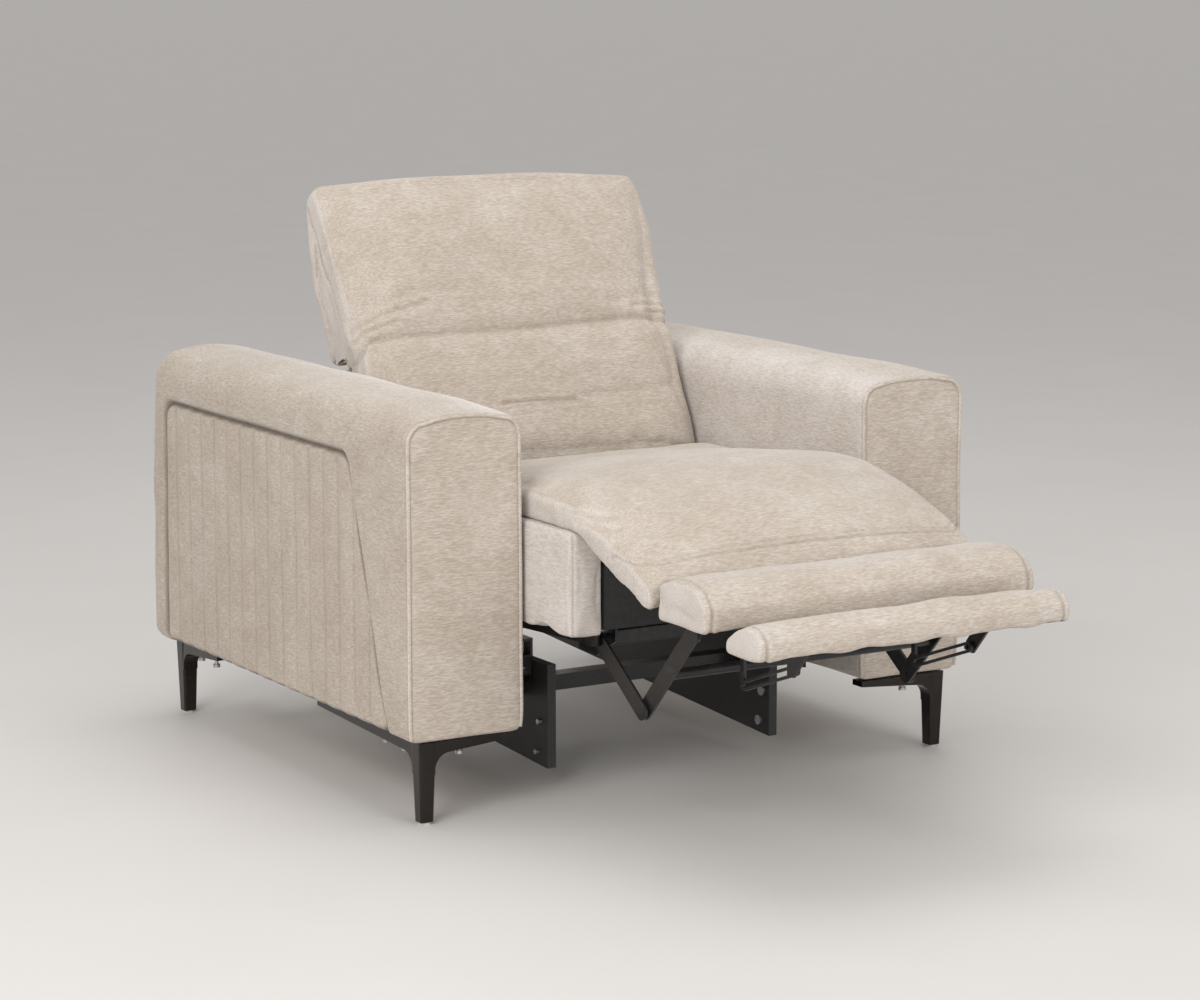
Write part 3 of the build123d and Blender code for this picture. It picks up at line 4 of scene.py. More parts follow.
import bpy
import numpy as np
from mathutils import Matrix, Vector


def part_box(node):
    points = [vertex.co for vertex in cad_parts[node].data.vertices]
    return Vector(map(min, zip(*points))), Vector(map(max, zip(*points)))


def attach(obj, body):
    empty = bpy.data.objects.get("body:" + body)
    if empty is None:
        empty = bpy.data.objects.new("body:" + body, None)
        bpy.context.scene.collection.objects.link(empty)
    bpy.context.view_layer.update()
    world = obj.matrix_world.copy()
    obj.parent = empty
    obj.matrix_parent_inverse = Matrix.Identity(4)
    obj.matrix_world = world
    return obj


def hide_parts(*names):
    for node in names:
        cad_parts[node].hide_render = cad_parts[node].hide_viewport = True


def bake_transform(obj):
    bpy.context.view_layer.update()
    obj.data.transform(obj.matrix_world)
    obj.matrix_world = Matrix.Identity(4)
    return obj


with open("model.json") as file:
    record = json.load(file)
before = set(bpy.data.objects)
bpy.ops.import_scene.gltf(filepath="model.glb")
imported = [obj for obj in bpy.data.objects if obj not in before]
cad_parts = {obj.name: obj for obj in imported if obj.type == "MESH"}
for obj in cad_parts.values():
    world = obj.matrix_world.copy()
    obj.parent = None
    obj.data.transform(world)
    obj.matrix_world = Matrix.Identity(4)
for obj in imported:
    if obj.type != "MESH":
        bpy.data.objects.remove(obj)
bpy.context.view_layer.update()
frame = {"nodes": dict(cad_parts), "record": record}
nodes = frame["nodes"]
sides = (("left", -1), ("right", 1))


# picking and shaping

def clearSelection():
    if bpy.context.object and bpy.context.object.mode != "OBJECT":
        bpy.ops.object.mode_set(mode="OBJECT")
    bpy.ops.object.select_all(action="DESELECT")


def workOn(piece):
    clearSelection()
    piece.select_set(True)
    bpy.context.view_layer.objects.active = piece


def pickEdges(piece, test):
    # leaves the piece in edit mode with the edges whose two ends pass the test
    workOn(piece)
    bpy.ops.object.mode_set(mode="EDIT")
    bpy.ops.mesh.select_mode(type="EDGE")
    bpy.ops.mesh.select_all(action="DESELECT")
    bpy.ops.object.mode_set(mode="OBJECT")
    ends = piece.data.vertices
    for edge in piece.data.edges:
        edge.select = bool(test(ends[edge.vertices[0]].co, ends[edge.vertices[1]].co))
    bpy.ops.object.mode_set(mode="EDIT")


def onEnd(half):
    # picks the edges round both ends of a block
    return lambda a, b: abs(a.x - b.x) < 1e-4 and abs(a.x) > half - 1e-4


def roundEdges(piece, test, width, segments):
    pickEdges(piece, test)
    bpy.ops.mesh.bevel(offset=width, segments=segments, affect="EDGES")
    bpy.ops.object.mode_set(mode="OBJECT")


def readPoints(piece):
    points = np.zeros(len(piece.data.vertices) * 3)
    piece.data.vertices.foreach_get("co", points)
    return points.reshape(-1, 3)


def readNormals(piece):
    normals = np.zeros(len(piece.data.vertices) * 3)
    piece.data.vertices.foreach_get("normal", normals)
    return normals.reshape(-1, 3)


def writePoints(piece, points):
    piece.data.vertices.foreach_set("co", points.reshape(-1))
    piece.data.update()


def smoothStep(values, low, high):
    share = np.clip((values - low) / (high - low), 0, 1)
    return share * share * (3 - 2 * share)


def sectionBlock(name, outline, low, high, cuts=0):
    # a filled circle set to the (y, z) outline of the section and pulled along x
    clearSelection()
    bpy.ops.mesh.primitive_circle_add(vertices=len(outline), radius=1, fill_type="NGON")
    piece = bpy.context.object
    piece.name = name
    for vertex, (a, b) in zip(piece.data.vertices, outline):
        vertex.co = (low, a, b)
    steps = cuts + 1
    bpy.ops.object.mode_set(mode="EDIT")
    bpy.ops.mesh.select_all(action="SELECT")
    for _ in range(steps):
        bpy.ops.mesh.extrude_region_move(
            TRANSFORM_OT_translate={"value": ((high - low) / steps, 0, 0)})
    bpy.ops.mesh.select_all(action="SELECT")
    bpy.ops.mesh.normals_make_consistent(inside=False)
    bpy.ops.object.mode_set(mode="OBJECT")
    return piece


def remesh(piece, voxel):
    workOn(piece)
    piece.data.remesh_voxel_size = voxel
    bpy.ops.object.voxel_remesh()


def refine(piece):
    workOn(piece)
    finer = piece.modifiers.new("finer", "SUBSURF")
    finer.levels = finer.render_levels = 1
    bpy.ops.object.modifier_apply(modifier=finer.name)


def relax(piece):
    workOn(piece)
    softer = piece.modifiers.new("softer", "SMOOTH")
    softer.iterations = 2
    softer.factor = 0.5
    bpy.ops.object.modifier_apply(modifier=softer.name)


cover = {"mass": 0.3, "stretch": 15.0, "shear": 7.5, "bend": 0.5, "quality": 4}


def stuff(piece, pressure, cap, frames=20):
    # cloth filled with air until it is taut, with the swelling capped
    workOn(piece)
    start = readPoints(piece)
    outward = readNormals(piece)
    cloth = piece.modifiers.new("stuffing", "CLOTH")
    cloth.settings.quality = cover["quality"]
    cloth.settings.mass = cover["mass"]
    cloth.settings.use_pressure = True
    cloth.settings.uniform_pressure_force = pressure
    cloth.settings.tension_stiffness = cover["stretch"]
    cloth.settings.compression_stiffness = cover["stretch"]
    cloth.settings.shear_stiffness = cover["shear"]
    cloth.settings.bending_stiffness = cover["bend"]
    cloth.settings.effector_weights.gravity = 0
    cloth.point_cache.frame_start = 1
    cloth.point_cache.frame_end = frames
    for number in range(1, frames + 1):
        bpy.context.scene.frame_set(number)
    bpy.ops.object.modifier_apply(modifier=cloth.name)
    bpy.context.scene.frame_set(1)
    moved = readPoints(piece) - start
    # corners keep their fullness
    moved -= outward * np.minimum((moved * outward).sum(1), 0)[:, None]
    size = np.linalg.norm(moved, axis=1)
    limit = cap * np.tanh(size / cap)
    writePoints(piece, start + moved * (limit / np.maximum(size, 1e-9))[:, None])


def pathDistance(points, path):
    # shortest distance from each point to a path of short runs
    path = np.array(path, float)
    best = np.full(len(points), 9.0)
    for a, b in zip(path[:-1], path[1:]):
        run = b - a
        share = np.clip(((points - a) @ run) / max(run @ run, 1e-12), 0, 1)
        best = np.minimum(best, np.linalg.norm(points - a - share[:, None] * run, axis=1))
    return best


def paintGrooveShade(piece, share):
    # the seam attribute paints shade into the cloth down in a groove
    seams = piece.data.attributes.get("seam") or piece.data.attributes.new("seam", "FLOAT", "POINT")
    marked = np.zeros(len(share))
    seams.data.foreach_get("value", marked)
    seams.data.foreach_set("value", np.maximum(marked, share))


def pressSeam(piece, paths, depth, width, swell=0.0, dark=0.0):
    # sinks a narrow groove along each path and lifts the padding beside it; dark paints shade into the
    # groove
    points = readPoints(piece)
    normals = readNormals(piece)
    away = np.full(len(points), 9.0)
    for path in paths:
        path = np.array(path, float)
        near = np.all((points > path.min(0) - 6 * width) & (points < path.max(0) + 6 * width), axis=1)
        away[near] = np.minimum(away[near], pathDistance(points[near], path))
    sink = -depth * np.exp(-(away / width) ** 2)
    sink += swell * np.exp(-((away - 2.6 * width) / (1.6 * width)) ** 2)
    writePoints(piece, points + normals * sink[:, None])
    if dark:
        paintGrooveShade(piece, dark * np.exp(-(away / max(width * 0.8, 0.0022)) ** 2))


def ripple(piece, size, height, seed, where=None):
    # slow uneven swelling of padded cloth
    chance = np.random.RandomState(seed)
    points = readPoints(piece)
    normals = readNormals(piece)
    wave = np.zeros(len(points))
    for _ in range(9):                        # nine waves make it irregular
        way = chance.normal(size=3)
        way = way / np.linalg.norm(way) * (2 * math.pi / size) * chance.uniform(0.6, 1.5)
        wave += np.sin(points @ way + chance.uniform(0, 6.28))
    wave *= height / 3
    if where is not None:
        wave *= where(points)
    writePoints(piece, points + normals * wave[:, None])


def curvePath(marks, steps=10):
    # a smooth line through the marks
    marks = [Vector(mark) for mark in marks]
    line = []
    for i in range(len(marks) - 1):
        before = marks[max(i - 1, 0)]
        a, b = marks[i], marks[i + 1]
        after = marks[min(i + 2, len(marks) - 1)]
        for step in range(steps):
            t = step / steps
            line.append(0.5 * ((2 * a) + (b - before) * t + (2 * before - 5 * a + 4 * b - after) * t ** 2
                               + (3 * a - before - 3 * b + after) * t ** 3))
    line.append(marks[-1])
    return line


def onSurface(piece, line, lift=0.0, aim=None):
    # drops a line onto a piece, along aim or to the nearest point
    bpy.context.view_layer.update()
    landed = []
    for point in line:
        if aim is None:
            hit, spot, normal, _ = piece.closest_point_on_mesh(point)
        else:
            hit, spot, normal, _ = piece.ray_cast(Vector(point) - Vector(aim) * 0.2, Vector(aim))
        if hit:
            landed.append(spot + normal * lift)
    return landed


def rollTube(name, line, radius):
    # a thin round welt that follows a line
    clearSelection()
    bpy.ops.curve.primitive_nurbs_path_add()
    tube = bpy.context.object
    tube.name = name
    curve = tube.data
    spline = curve.splines[0]
    spline.points.add(len(line) - len(spline.points))
    for point, place in zip(spline.points, line):
        point.co = (*place, 1)
    spline.order_u = 3
    spline.use_endpoint_u = True
    spline.resolution_u = 2
    curve.bevel_depth = radius
    curve.bevel_resolution = 3
    curve.use_fill_caps = True
    bpy.ops.object.convert(target="MESH")
    tube = bpy.context.object
    bpy.ops.object.shade_smooth()
    return tube


def finishPiece(piece, body, finish, replaced=()):
    workOn(piece)
    bpy.ops.object.transform_apply(location=True, rotation=True, scale=True)
    bpy.ops.object.shade_smooth()
    piece.data.materials.clear()
    piece.data.materials.append(finish)
    if replaced:
        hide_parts(*replaced)
    if body:
        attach(piece, body)
    return piece


# finishes

class Wire:
    # one shader socket, so that an expression on values adds its own Math nodes
    def __init__(self, finish, socket):
        self.finish = finish
        self.socket = socket

    def work(self, operation, *values):
        return self.finish.node("ShaderNodeMath", {"operation": operation}, dict(enumerate(values)))

    def __add__(self, other):
        return self.work("ADD", self, other)

    def __radd__(self, other):
        return self.work("ADD", other, self)

    def __sub__(self, other):
        return self.work("SUBTRACT", self, other)

    def __rsub__(self, other):
        return self.work("SUBTRACT", other, self)

    def __mul__(self, other):
        return self.work("MULTIPLY", self, other)

    def __rmul__(self, other):
        return self.work("MULTIPLY", other, self)

    def __pow__(self, other):
        return self.work("POWER", self, other)


class Finish:
    def __init__(self, name):
        self.material = bpy.data.materials.new(name)
        self.material.use_nodes = True
        self.tree = self.material.node_tree
        self.tree.nodes.clear()
        self.place = self.node("ShaderNodeTexCoord", out="Object")

    def node(self, kind, settings=None, inputs=None, out=0):
        made = self.tree.nodes.new(kind)
        for key, value in (settings or {}).items():
            if key == "stops":
                ramp = made.color_ramp
                while len(ramp.elements) < len(value):
                    ramp.elements.new(0.5)
                for element, (spot, colour) in zip(ramp.elements, value):
                    element.position = spot
                    element.color = colour if hasattr(colour, "__len__") else (colour, colour, colour, 1)
            else:
                setattr(made, key, value)
        for key, value in (inputs or {}).items():
            if isinstance(value, Wire):
                self.tree.links.new(value.socket, made.inputs[key])
            else:
                made.inputs[key].default_value = value
        return Wire(self, made.outputs[out])

    def noise(self, scale, stretch=(1, 1, 1), detail=2.0, roughness=0.5, distortion=0.0):
        place = self.node("ShaderNodeMapping", {}, {"Vector": self.place, "Scale": stretch})
        return self.node("ShaderNodeTexNoise", {}, {
            "Vector": place, "Scale": scale, "Detail": detail, "Roughness": roughness,
            "Distortion": distortion})

    def ramp(self, value, stops):
        return self.node("ShaderNodeValToRGB", {"stops": stops}, {0: value})

    def level(self, value, low, high):
        return self.node("ShaderNodeMapRange", {"interpolation_type": "SMOOTHSTEP"}, {
            "Value": value, "From Min": low, "From Max": high, "To Min": 0.0, "To Max": 1.0})

    def mix(self, share, first, second):
        return self.node("ShaderNodeMix", {"data_type": "RGBA"}, {0: share, 6: first, 7: second}, out=2)

    def bump(self, height, distance, strength=1.0):
        return self.node("ShaderNodeBump", {}, {
            "Height": height, "Distance": distance, "Strength": strength})

    def surface(self, **inputs):
        names = {"colour": "Base Color", "roughness": "Roughness", "metallic": "Metallic",
                 "normal": "Normal", "coat": "Coat Weight", "coatRoughness": "Coat Roughness",
                 "sheen": "Sheen Weight", "sheenRoughness": "Sheen Roughness",
                 "specular": "Specular IOR Level"}
        shader = self.node("ShaderNodeBsdfPrincipled", {}, {
            names[key]: value for key, value in inputs.items()})
        output = self.tree.nodes.new("ShaderNodeOutputMaterial")
        self.tree.links.new(shader.socket, output.inputs["Surface"])
        return self.material


def paint(red, green, blue):
    return (red, green, blue, 1.0)


chenille = {
    "shade": paint(0.368, 0.309, 0.251),       # pile brushed away from the eye, and where painted shade pulls the tone down
    "pile": paint(0.462, 0.399, 0.335),
    "light": paint(0.580, 0.531, 0.492),       # pile brushed towards it, and where painted light lifts the tone
    "paintedLight": paint(0.690, 0.645, 0.610),      # painted light: reached only where the tone is lifted past the pile's own range
    "stitch": paint(0.150, 0.118, 0.092),      # painted shade down in a seam, groove or panel edge
    # how fine each pattern is, and its share of the tone
    "yarn": (600.0, 0.48),
    "slub": (300.0, 0.19),
    "brush": (20.0, 0.18),
    "patch": (6.0, 0.15),
    "roughness": 0.94,
    "sheen": 0.27,
    "sheenRoughness": 0.40,
    "bump": 0.0009,
}
alongX = (0.16, 1.0, 1.0)
alongY = (1.0, 0.16, 1.0)


# lift, inner and ends paint light and shade into the colour: lift over a whole piece, inner on the arms'
# faces towards the seat and their outer sides, ends on the end faces
def makeChenille(name, way=alongX, frontAt=None, lift=0.0, inner=0.0, ends=0.0):
    # the yarn lies level round the chair, along x on fronts and along y on sides
    cloth = Finish(name)
    onFront = 0.0                              # 1 on the flat front of an arm or a bolster
    if frontAt is not None:
        y = cloth.node("ShaderNodeSeparateXYZ", {}, {0: cloth.place}, out=1)
        onFront = 1 - cloth.level(y, frontAt + 0.001, frontAt + 0.005)
    if inner:
        # painted light on the faces towards the seat, and painted shade on the outer sides, with the
        # flat front left out
        x = cloth.node("ShaderNodeSeparateXYZ", {}, {0: cloth.place}, out=0)
        offset = x.work("ABSOLUTE", x)
        lift = (1 - cloth.level(offset, 0.32, 0.42)) * inner
        lift = (lift - cloth.level(offset, 0.44, 0.50) * 0.10) * (1 - onFront)
    if ends:
        # painted light on the end faces of the cushions, set by the surface normal
        normal = cloth.node("ShaderNodeTexCoord", out="Normal")
        across = cloth.node("ShaderNodeSeparateXYZ", {}, {0: normal}, out=0)
        lift = cloth.level(across.work("ABSOLUTE", across), 0.60, 0.92) * ends + lift

    def thread(scale):
        line = cloth.noise(scale, way, detail=2.0, roughness=0.6)
        if frontAt is None:
            return line
        across = cloth.noise(scale, alongX, detail=2.0, roughness=0.6)
        return line * (1 - onFront) + across * onFront

    yarn = thread(chenille["yarn"][0])
    slub = thread(chenille["slub"][0])
    brush = cloth.noise(chenille["brush"][0], (1, 1, 1.2), detail=4.0, roughness=0.60, distortion=0.6)
    patch = cloth.noise(chenille["patch"][0], (1, 1, 1), detail=2.0, roughness=0.5)
    tone = (cloth.level(yarn, 0.30, 0.70) * chenille["yarn"][1]
            + cloth.level(slub, 0.30, 0.70) * chenille["slub"][1]
            + cloth.level(brush, 0.32, 0.68) * chenille["brush"][1]
            + cloth.level(patch, 0.35, 0.65) * chenille["patch"][1] + lift)
    # tone lifted by painted light runs up into the top, lit stop
    shades = [chenille[key] for key in ("shade", "pile", "light", "paintedLight")]
    colour = cloth.ramp(tone * 0.625, list(zip((0.0, 0.3125, 0.625, 1.0), shades)))
    # painted shade in seams and grooves, read from the seam attribute
    seam = cloth.node("ShaderNodeAttribute", {"attribute_name": "seam"}, out="Fac")
    height = yarn * 0.60 + slub * 0.40 + brush * 0.35
    return cloth.surface(
        colour=cloth.mix(seam, colour, chenille["stitch"]),
        roughness=chenille["roughness"],
        sheen=chenille["sheen"],
        sheenRoughness=chenille["sheenRoughness"],
        specular=0.12,
        normal=cloth.bump(height, chenille["bump"], 0.9))


def makeMetal(name, dark, light, roughness, metallic, grain=160.0, coat=0.0, wear=0.1):
    metal = Finish(name)
    haze = metal.noise(9.0, detail=4.0)
    speck = metal.noise(grain, detail=2.0)
    scuff = metal.noise(38.0, (1, 0.25, 1), detail=5.0, roughness=0.7)
    tone = metal.level(haze * 0.6 + speck * 0.4, 0.35, 0.68)
    worn = metal.level(scuff, 0.60, 0.74) * wear
    colour = metal.mix(worn, metal.mix(tone, dark, light), paint(0.35, 0.34, 0.33))
    shine = tone * 0.14 + (roughness - 0.07) + worn * 0.2
    return metal.surface(colour=colour, roughness=shine, metallic=metallic, coat=coat,
                         coatRoughness=0.12, normal=metal.bump(speck, 0.00008, 0.5))


def makeWood(name, dark, light, way):
    wood = Finish(name)
    grain = wood.noise(24.0, way, detail=5.0, roughness=0.65, distortion=0.8)
    fine = wood.noise(190.0, way, detail=3.0)
    tone = wood.level(grain * 0.7 + fine * 0.3, 0.34, 0.66)
    colour = wood.mix(tone, dark, light)
    return wood.surface(colour=colour, roughness=tone * 0.1 + 0.66,
                        normal=wood.bump(fine, 0.0003, 0.6))


def makePlastic(name, dark, light, roughness):
    plastic = Finish(name)
    skin = plastic.noise(720.0, detail=2.0)
    cloud = plastic.noise(7.0, detail=3.0)
    tone = plastic.level(cloud * 0.7 + skin * 0.3, 0.35, 0.65)
    return plastic.surface(colour=plastic.mix(tone, dark, light), roughness=tone * 0.1 + roughness,
                           normal=plastic.bump(skin, 0.00006, 0.5))


def makeWeave(name, dark, light, pitch):
    weave = Finish(name)
    place = weave.node("ShaderNodeMapping", {}, {"Vector": weave.place, "Scale": (pitch, pitch, pitch)})
    warp, weft = (weave.node("ShaderNodeTexWave", {"bands_direction": way},
                             {"Vector": place, "Scale": 1.0}, out="Fac") for way in "XY")
    cloud = weave.noise(14.0, detail=3.0)
    tone = warp * weft * 0.7 + cloud * 0.3
    return weave.surface(colour=weave.mix(weave.level(tone, 0.1, 0.7), dark, light), roughness=0.9,
                         normal=weave.bump(warp * weft, 0.0004, 0.7))


def makeFoam(name):
    foam = Finish(name)
    cells = foam.node("ShaderNodeTexVoronoi", {}, {"Vector": foam.place, "Scale": 420.0}, out="Distance")
    cloud = foam.noise(9.0, detail=3.0)
    tone = foam.level(cells * 0.5 + cloud * 0.5, 0.15, 0.60)
    return foam.surface(colour=foam.mix(tone, paint(0.66, 0.60, 0.40), paint(0.80, 0.75, 0.56)),
                        roughness=0.95, normal=foam.bump(cells, 0.0006, 0.6))


finishes = {
    # copies of the chenille with painted light and shade: lighter end faces, lighter bolsters, pads and
    # welts, a darker side panel, and arms lighter on the inside and darker outside
    "chenille": makeChenille("chenille", ends=0.42),
    "sideChenillePaintedShade": makeChenille("sideChenillePaintedShade", alongY, lift=-0.12),
    "armChenillePaintedLightShade": makeChenille("armChenillePaintedLightShade", alongY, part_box("left_arm_cover")[0].y, inner=0.50),
    "bolsterChenillePaintedLight": makeChenille("bolsterChenillePaintedLight", alongY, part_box("left_bolster")[0].y, lift=0.50),
    "padChenillePaintedLight": makeChenille("padChenillePaintedLight", lift=0.08, ends=0.30),
    "webbing": makeWeave("webbing", paint(0.20, 0.18, 0.15), paint(0.42, 0.38, 0.32), 620.0),
    "foam": makeFoam("foam"),
    "timber": makeWood(
        "timber", paint(0.36, 0.23, 0.12), paint(0.56, 0.40, 0.24), (1.0, 0.18, 1.0)),
    "plywood": makeWood(
        "plywood", paint(0.42, 0.29, 0.16), paint(0.62, 0.46, 0.29), (0.2, 1.0, 1.0)),
    "black_board": makeMetal(
        "blackBoard", paint(0.010, 0.010, 0.011), paint(0.026, 0.025, 0.025), 0.52, 0.0, wear=0.05),
    "black_steel": makeMetal(
        "blackSteel", paint(0.008, 0.008, 0.009), paint(0.022, 0.022, 0.023), 0.36, 0.35,
        coat=0.25, wear=0.08),
    "bronze": makeMetal(
        "bronze", paint(0.007, 0.005, 0.004), paint(0.018, 0.012, 0.009), 0.17, 0.6,
        coat=0.3, wear=0.03),
    "zinc": makeMetal(
        "zinc", paint(0.34, 0.35, 0.37), paint(0.60, 0.61, 0.62), 0.34, 0.95, grain=90.0, wear=0.12),
    "glide": makePlastic("glide", paint(0.42, 0.40, 0.36), paint(0.56, 0.54, 0.50), 0.55),
    "black_plastic": makePlastic(
        "blackPlastic", paint(0.010, 0.010, 0.011), paint(0.022, 0.022, 0.024), 0.48),
    "nylon": makePlastic("nylon", paint(0.56, 0.55, 0.50), paint(0.68, 0.67, 0.62), 0.42),
}
slotOf = {part["node"]: part["material_slot"] for part in frame["record"]["subparts"]}
for nodeName, node in nodes.items():
    node.data.materials.clear()
    node.data.materials.append(finishes[slotOf[nodeName]])
    workOn(node)
    bpy.ops.object.shade_smooth_by_angle(angle=math.radians(35))
clearSelection()
print("finishes ready")


# arms
arm = {
    "gap": 0.0020,
    "edgeRound": 0.036,
    "frontRound": 0.005,
    "rearRound": 0.036,
    "rearSide": 0.014,
    "rearFootRound": 0.020,
    "shoulder": 0.611,      # height of the long edges
    "crown": 0.018,         # grows to this behind the front
    "frontCrown": 0.007,
    "puff": 0.0030,         # how far the padding swells in the middle of a side
    "voxel": 0.007,
    "welt": 0.0030,
    "panelSink": 0.012,
    "footRound": 0.014,
    "rows": 7,              # cuts behind the front, for the crown
    "rowPitch": 0.025,
    "wave": 0.24,           # slow unevenness of the padding
    "waveHeight": 0.0013,
}
panel = {
    "thick": 0.016,
    "ribPitch": 0.0500,
    "ribHeight": 0.0050,
    "stitch": 0.0050,
    "edgeRoll": 0.010,
    "corner": 0.030,
    "slope": 0.121,         # the front edge leans back by this
    "seamWidth": 0.0026,
    "voxel": 0.0055,
}


def roundedOutline(corners, steps=6):
    # corners are (a, b, radius); returns the outline with each one turned into an arc
    line = []
    for i, (a, b, radius) in enumerate(corners):
        here = Vector((a, b))
        if radius <= 0:
            line.append((a, b))
            continue
        before = Vector(corners[i - 1][:2]) - here
        after = Vector(corners[(i + 1) % len(corners)][:2]) - here
        before.normalize()
        after.normalize()
        half = before.angle(after) / 2
        reach = radius / math.tan(half)
        middle = here + (before + after).normalized() * (radius / math.sin(half))
        start = here + before * reach - middle
        end = here + after * reach - middle
        turn = start.angle_signed(end)
        for step in range(steps + 1):
            angle = -turn * step / steps
            line.append(tuple(middle + Vector((
                start.x * math.cos(angle) - start.y * math.sin(angle),
                start.x * math.sin(angle) + start.y * math.cos(angle)))))
    return line


def outlineDistance(a, b, outline):
    # how far each point lies inside a closed outline, negative outside
    points = np.stack([a, b], axis=1)
    best = np.full(len(points), 9.0)
    inside = np.zeros(len(points), bool)
    ring = np.array(outline)
    for p, q in zip(ring, np.roll(ring, -1, axis=0)):
        run = q - p
        share = np.clip(((points - p) @ run) / max(run @ run, 1e-12), 0, 1)
        best = np.minimum(best, np.linalg.norm(points - p - share[:, None] * run, axis=1))
        crosses = (p[1] > points[:, 1]) != (q[1] > points[:, 1])
        with np.errstate(divide="ignore", invalid="ignore"):
            at = (q[0] - p[0]) * (points[:, 1] - p[1]) / (q[1] - p[1]) + p[0]
        inside ^= crosses & (points[:, 0] < at)
    return np.where(inside, best, -best)


def cutRows(piece, front):
    # rows across the arm, so that its top can be crowned bit by bit
    pickEdges(piece, lambda a, b: True)
    for step in range(1, arm["rows"] + 1):
        bpy.ops.mesh.select_all(action="SELECT")
        bpy.ops.mesh.bisect(plane_co=(0, front + arm["rowPitch"] * step, 0), plane_no=(0, 1, 0))
    bpy.ops.object.mode_set(mode="OBJECT")


def makeArm(name, side):
    low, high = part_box(f"{name}_arm_cover")
    front, rear, base = low.y, high.y, low.z
    inner = min(abs(low.x), abs(high.x)) + arm["gap"]
    outer = max(abs(low.x), abs(high.x)) - arm["gap"]
    ends = sorted((side * inner, side * outer))
    middle = (ends[0] + ends[1]) / 2
    shoulder = arm["shoulder"]
    outline = roundedOutline([
        (front, base + 0.002, 0), (rear - 0.002, base + 0.002, arm["rearFootRound"]),
        (rear - 0.002, shoulder, arm["rearRound"]), (front, shoulder, 0)])
    piece = sectionBlock(f"{name}Arm", outline, *ends, cuts=7)

    def atSide(a, b):
        return abs(a.x - b.x) < 1e-4 and abs(a.x - middle) > (outer - inner) / 2 - 1e-4

    def topEdge(a, b):
        return atSide(a, b) and min(a.z, b.z) > shoulder - arm["rearRound"] - 0.002

    def rearEdge(a, b):
        return atSide(a, b) and min(a.y, b.y) > rear - 0.03 and abs(a.z - b.z) > 0.1

    def lowEdge(a, b):
        return atSide(a, b) and max(a.z, b.z) < base + 0.01

    def frontEdge(a, b):
        return max(a.y, b.y) < front + 1e-4

    roundEdges(piece, topEdge, arm["edgeRound"], 7)
    roundEdges(piece, rearEdge, arm["rearSide"], 3)
    roundEdges(piece, lowEdge, arm["footRound"], 3)
    roundEdges(piece, frontEdge, arm["frontRound"], 3)
    cutRows(piece, front)
    points = readPoints(piece)
    across = (points[:, 0] - middle) / (outer - inner) * 2
    crown = (arm["crown"] - arm["frontCrown"]) * smoothStep(points[:, 1], front, front + 0.16)
    crown += arm["frontCrown"]
    points[:, 2] += crown * (1 - across ** 2) * smoothStep(points[:, 2], shoulder - 0.10, shoulder)
    writePoints(piece, points)
    remesh(piece, arm["voxel"])
    relax(piece)
    refine(piece)
    points = readPoints(piece)
    normals = readNormals(piece)
    inset = np.minimum.reduce([
        points[:, 1] - front, rear - points[:, 1], points[:, 2] - base, shoulder - points[:, 2]])
    onSide = smoothStep(np.abs(normals[:, 0]), 0.6, 0.95)
    points += normals * (arm["puff"] * smoothStep(inset, 0.0, 0.07) * onSide)[:, None]
    writePoints(piece, points)
    ripple(piece, arm["wave"], arm["waveHeight"], 11 + side)
    # the front face stays flat behind its welt
    points = readPoints(piece)
    points[:, 1] = np.clip(points[:, 1], front + 0.0005, rear + 0.003)
    near, far = sorted((abs(low.x), abs(high.x)))
    points[:, 0] = side * np.clip(points[:, 0] * side, near + 0.0005, far + 0.001)
    points[:, 2] = np.maximum(points[:, 2], base + 0.0005)
    # pocket for the channelled panel
    depth = outlineDistance(points[:, 1], points[:, 2], panelOutline(name))
    outside = points[:, 0] * side > (outer - 0.02)
    sink = arm["panelSink"] * smoothStep(depth, -0.007, 0.004) * outside
    points[:, 0] -= side * sink
    writePoints(piece, points)
    # painted shade along the edge of the panel's pocket
    paintGrooveShade(piece, 0.75 * smoothStep(depth, -0.0050, 0.0) * outside)
    return piece


def panelOutline(name, inset=0.0):
    low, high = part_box(f"{name}_side_panel")
    corner = panel["corner"]
    return roundedOutline([
        (low.y + inset, low.z + inset, corner * 0.5),
        (high.y - inset, low.z + inset, corner * 0.5),
        (high.y - 0.014 - inset, high.z - inset, corner),
        (low.y + panel["slope"] + inset, high.z - inset, corner)], 8)


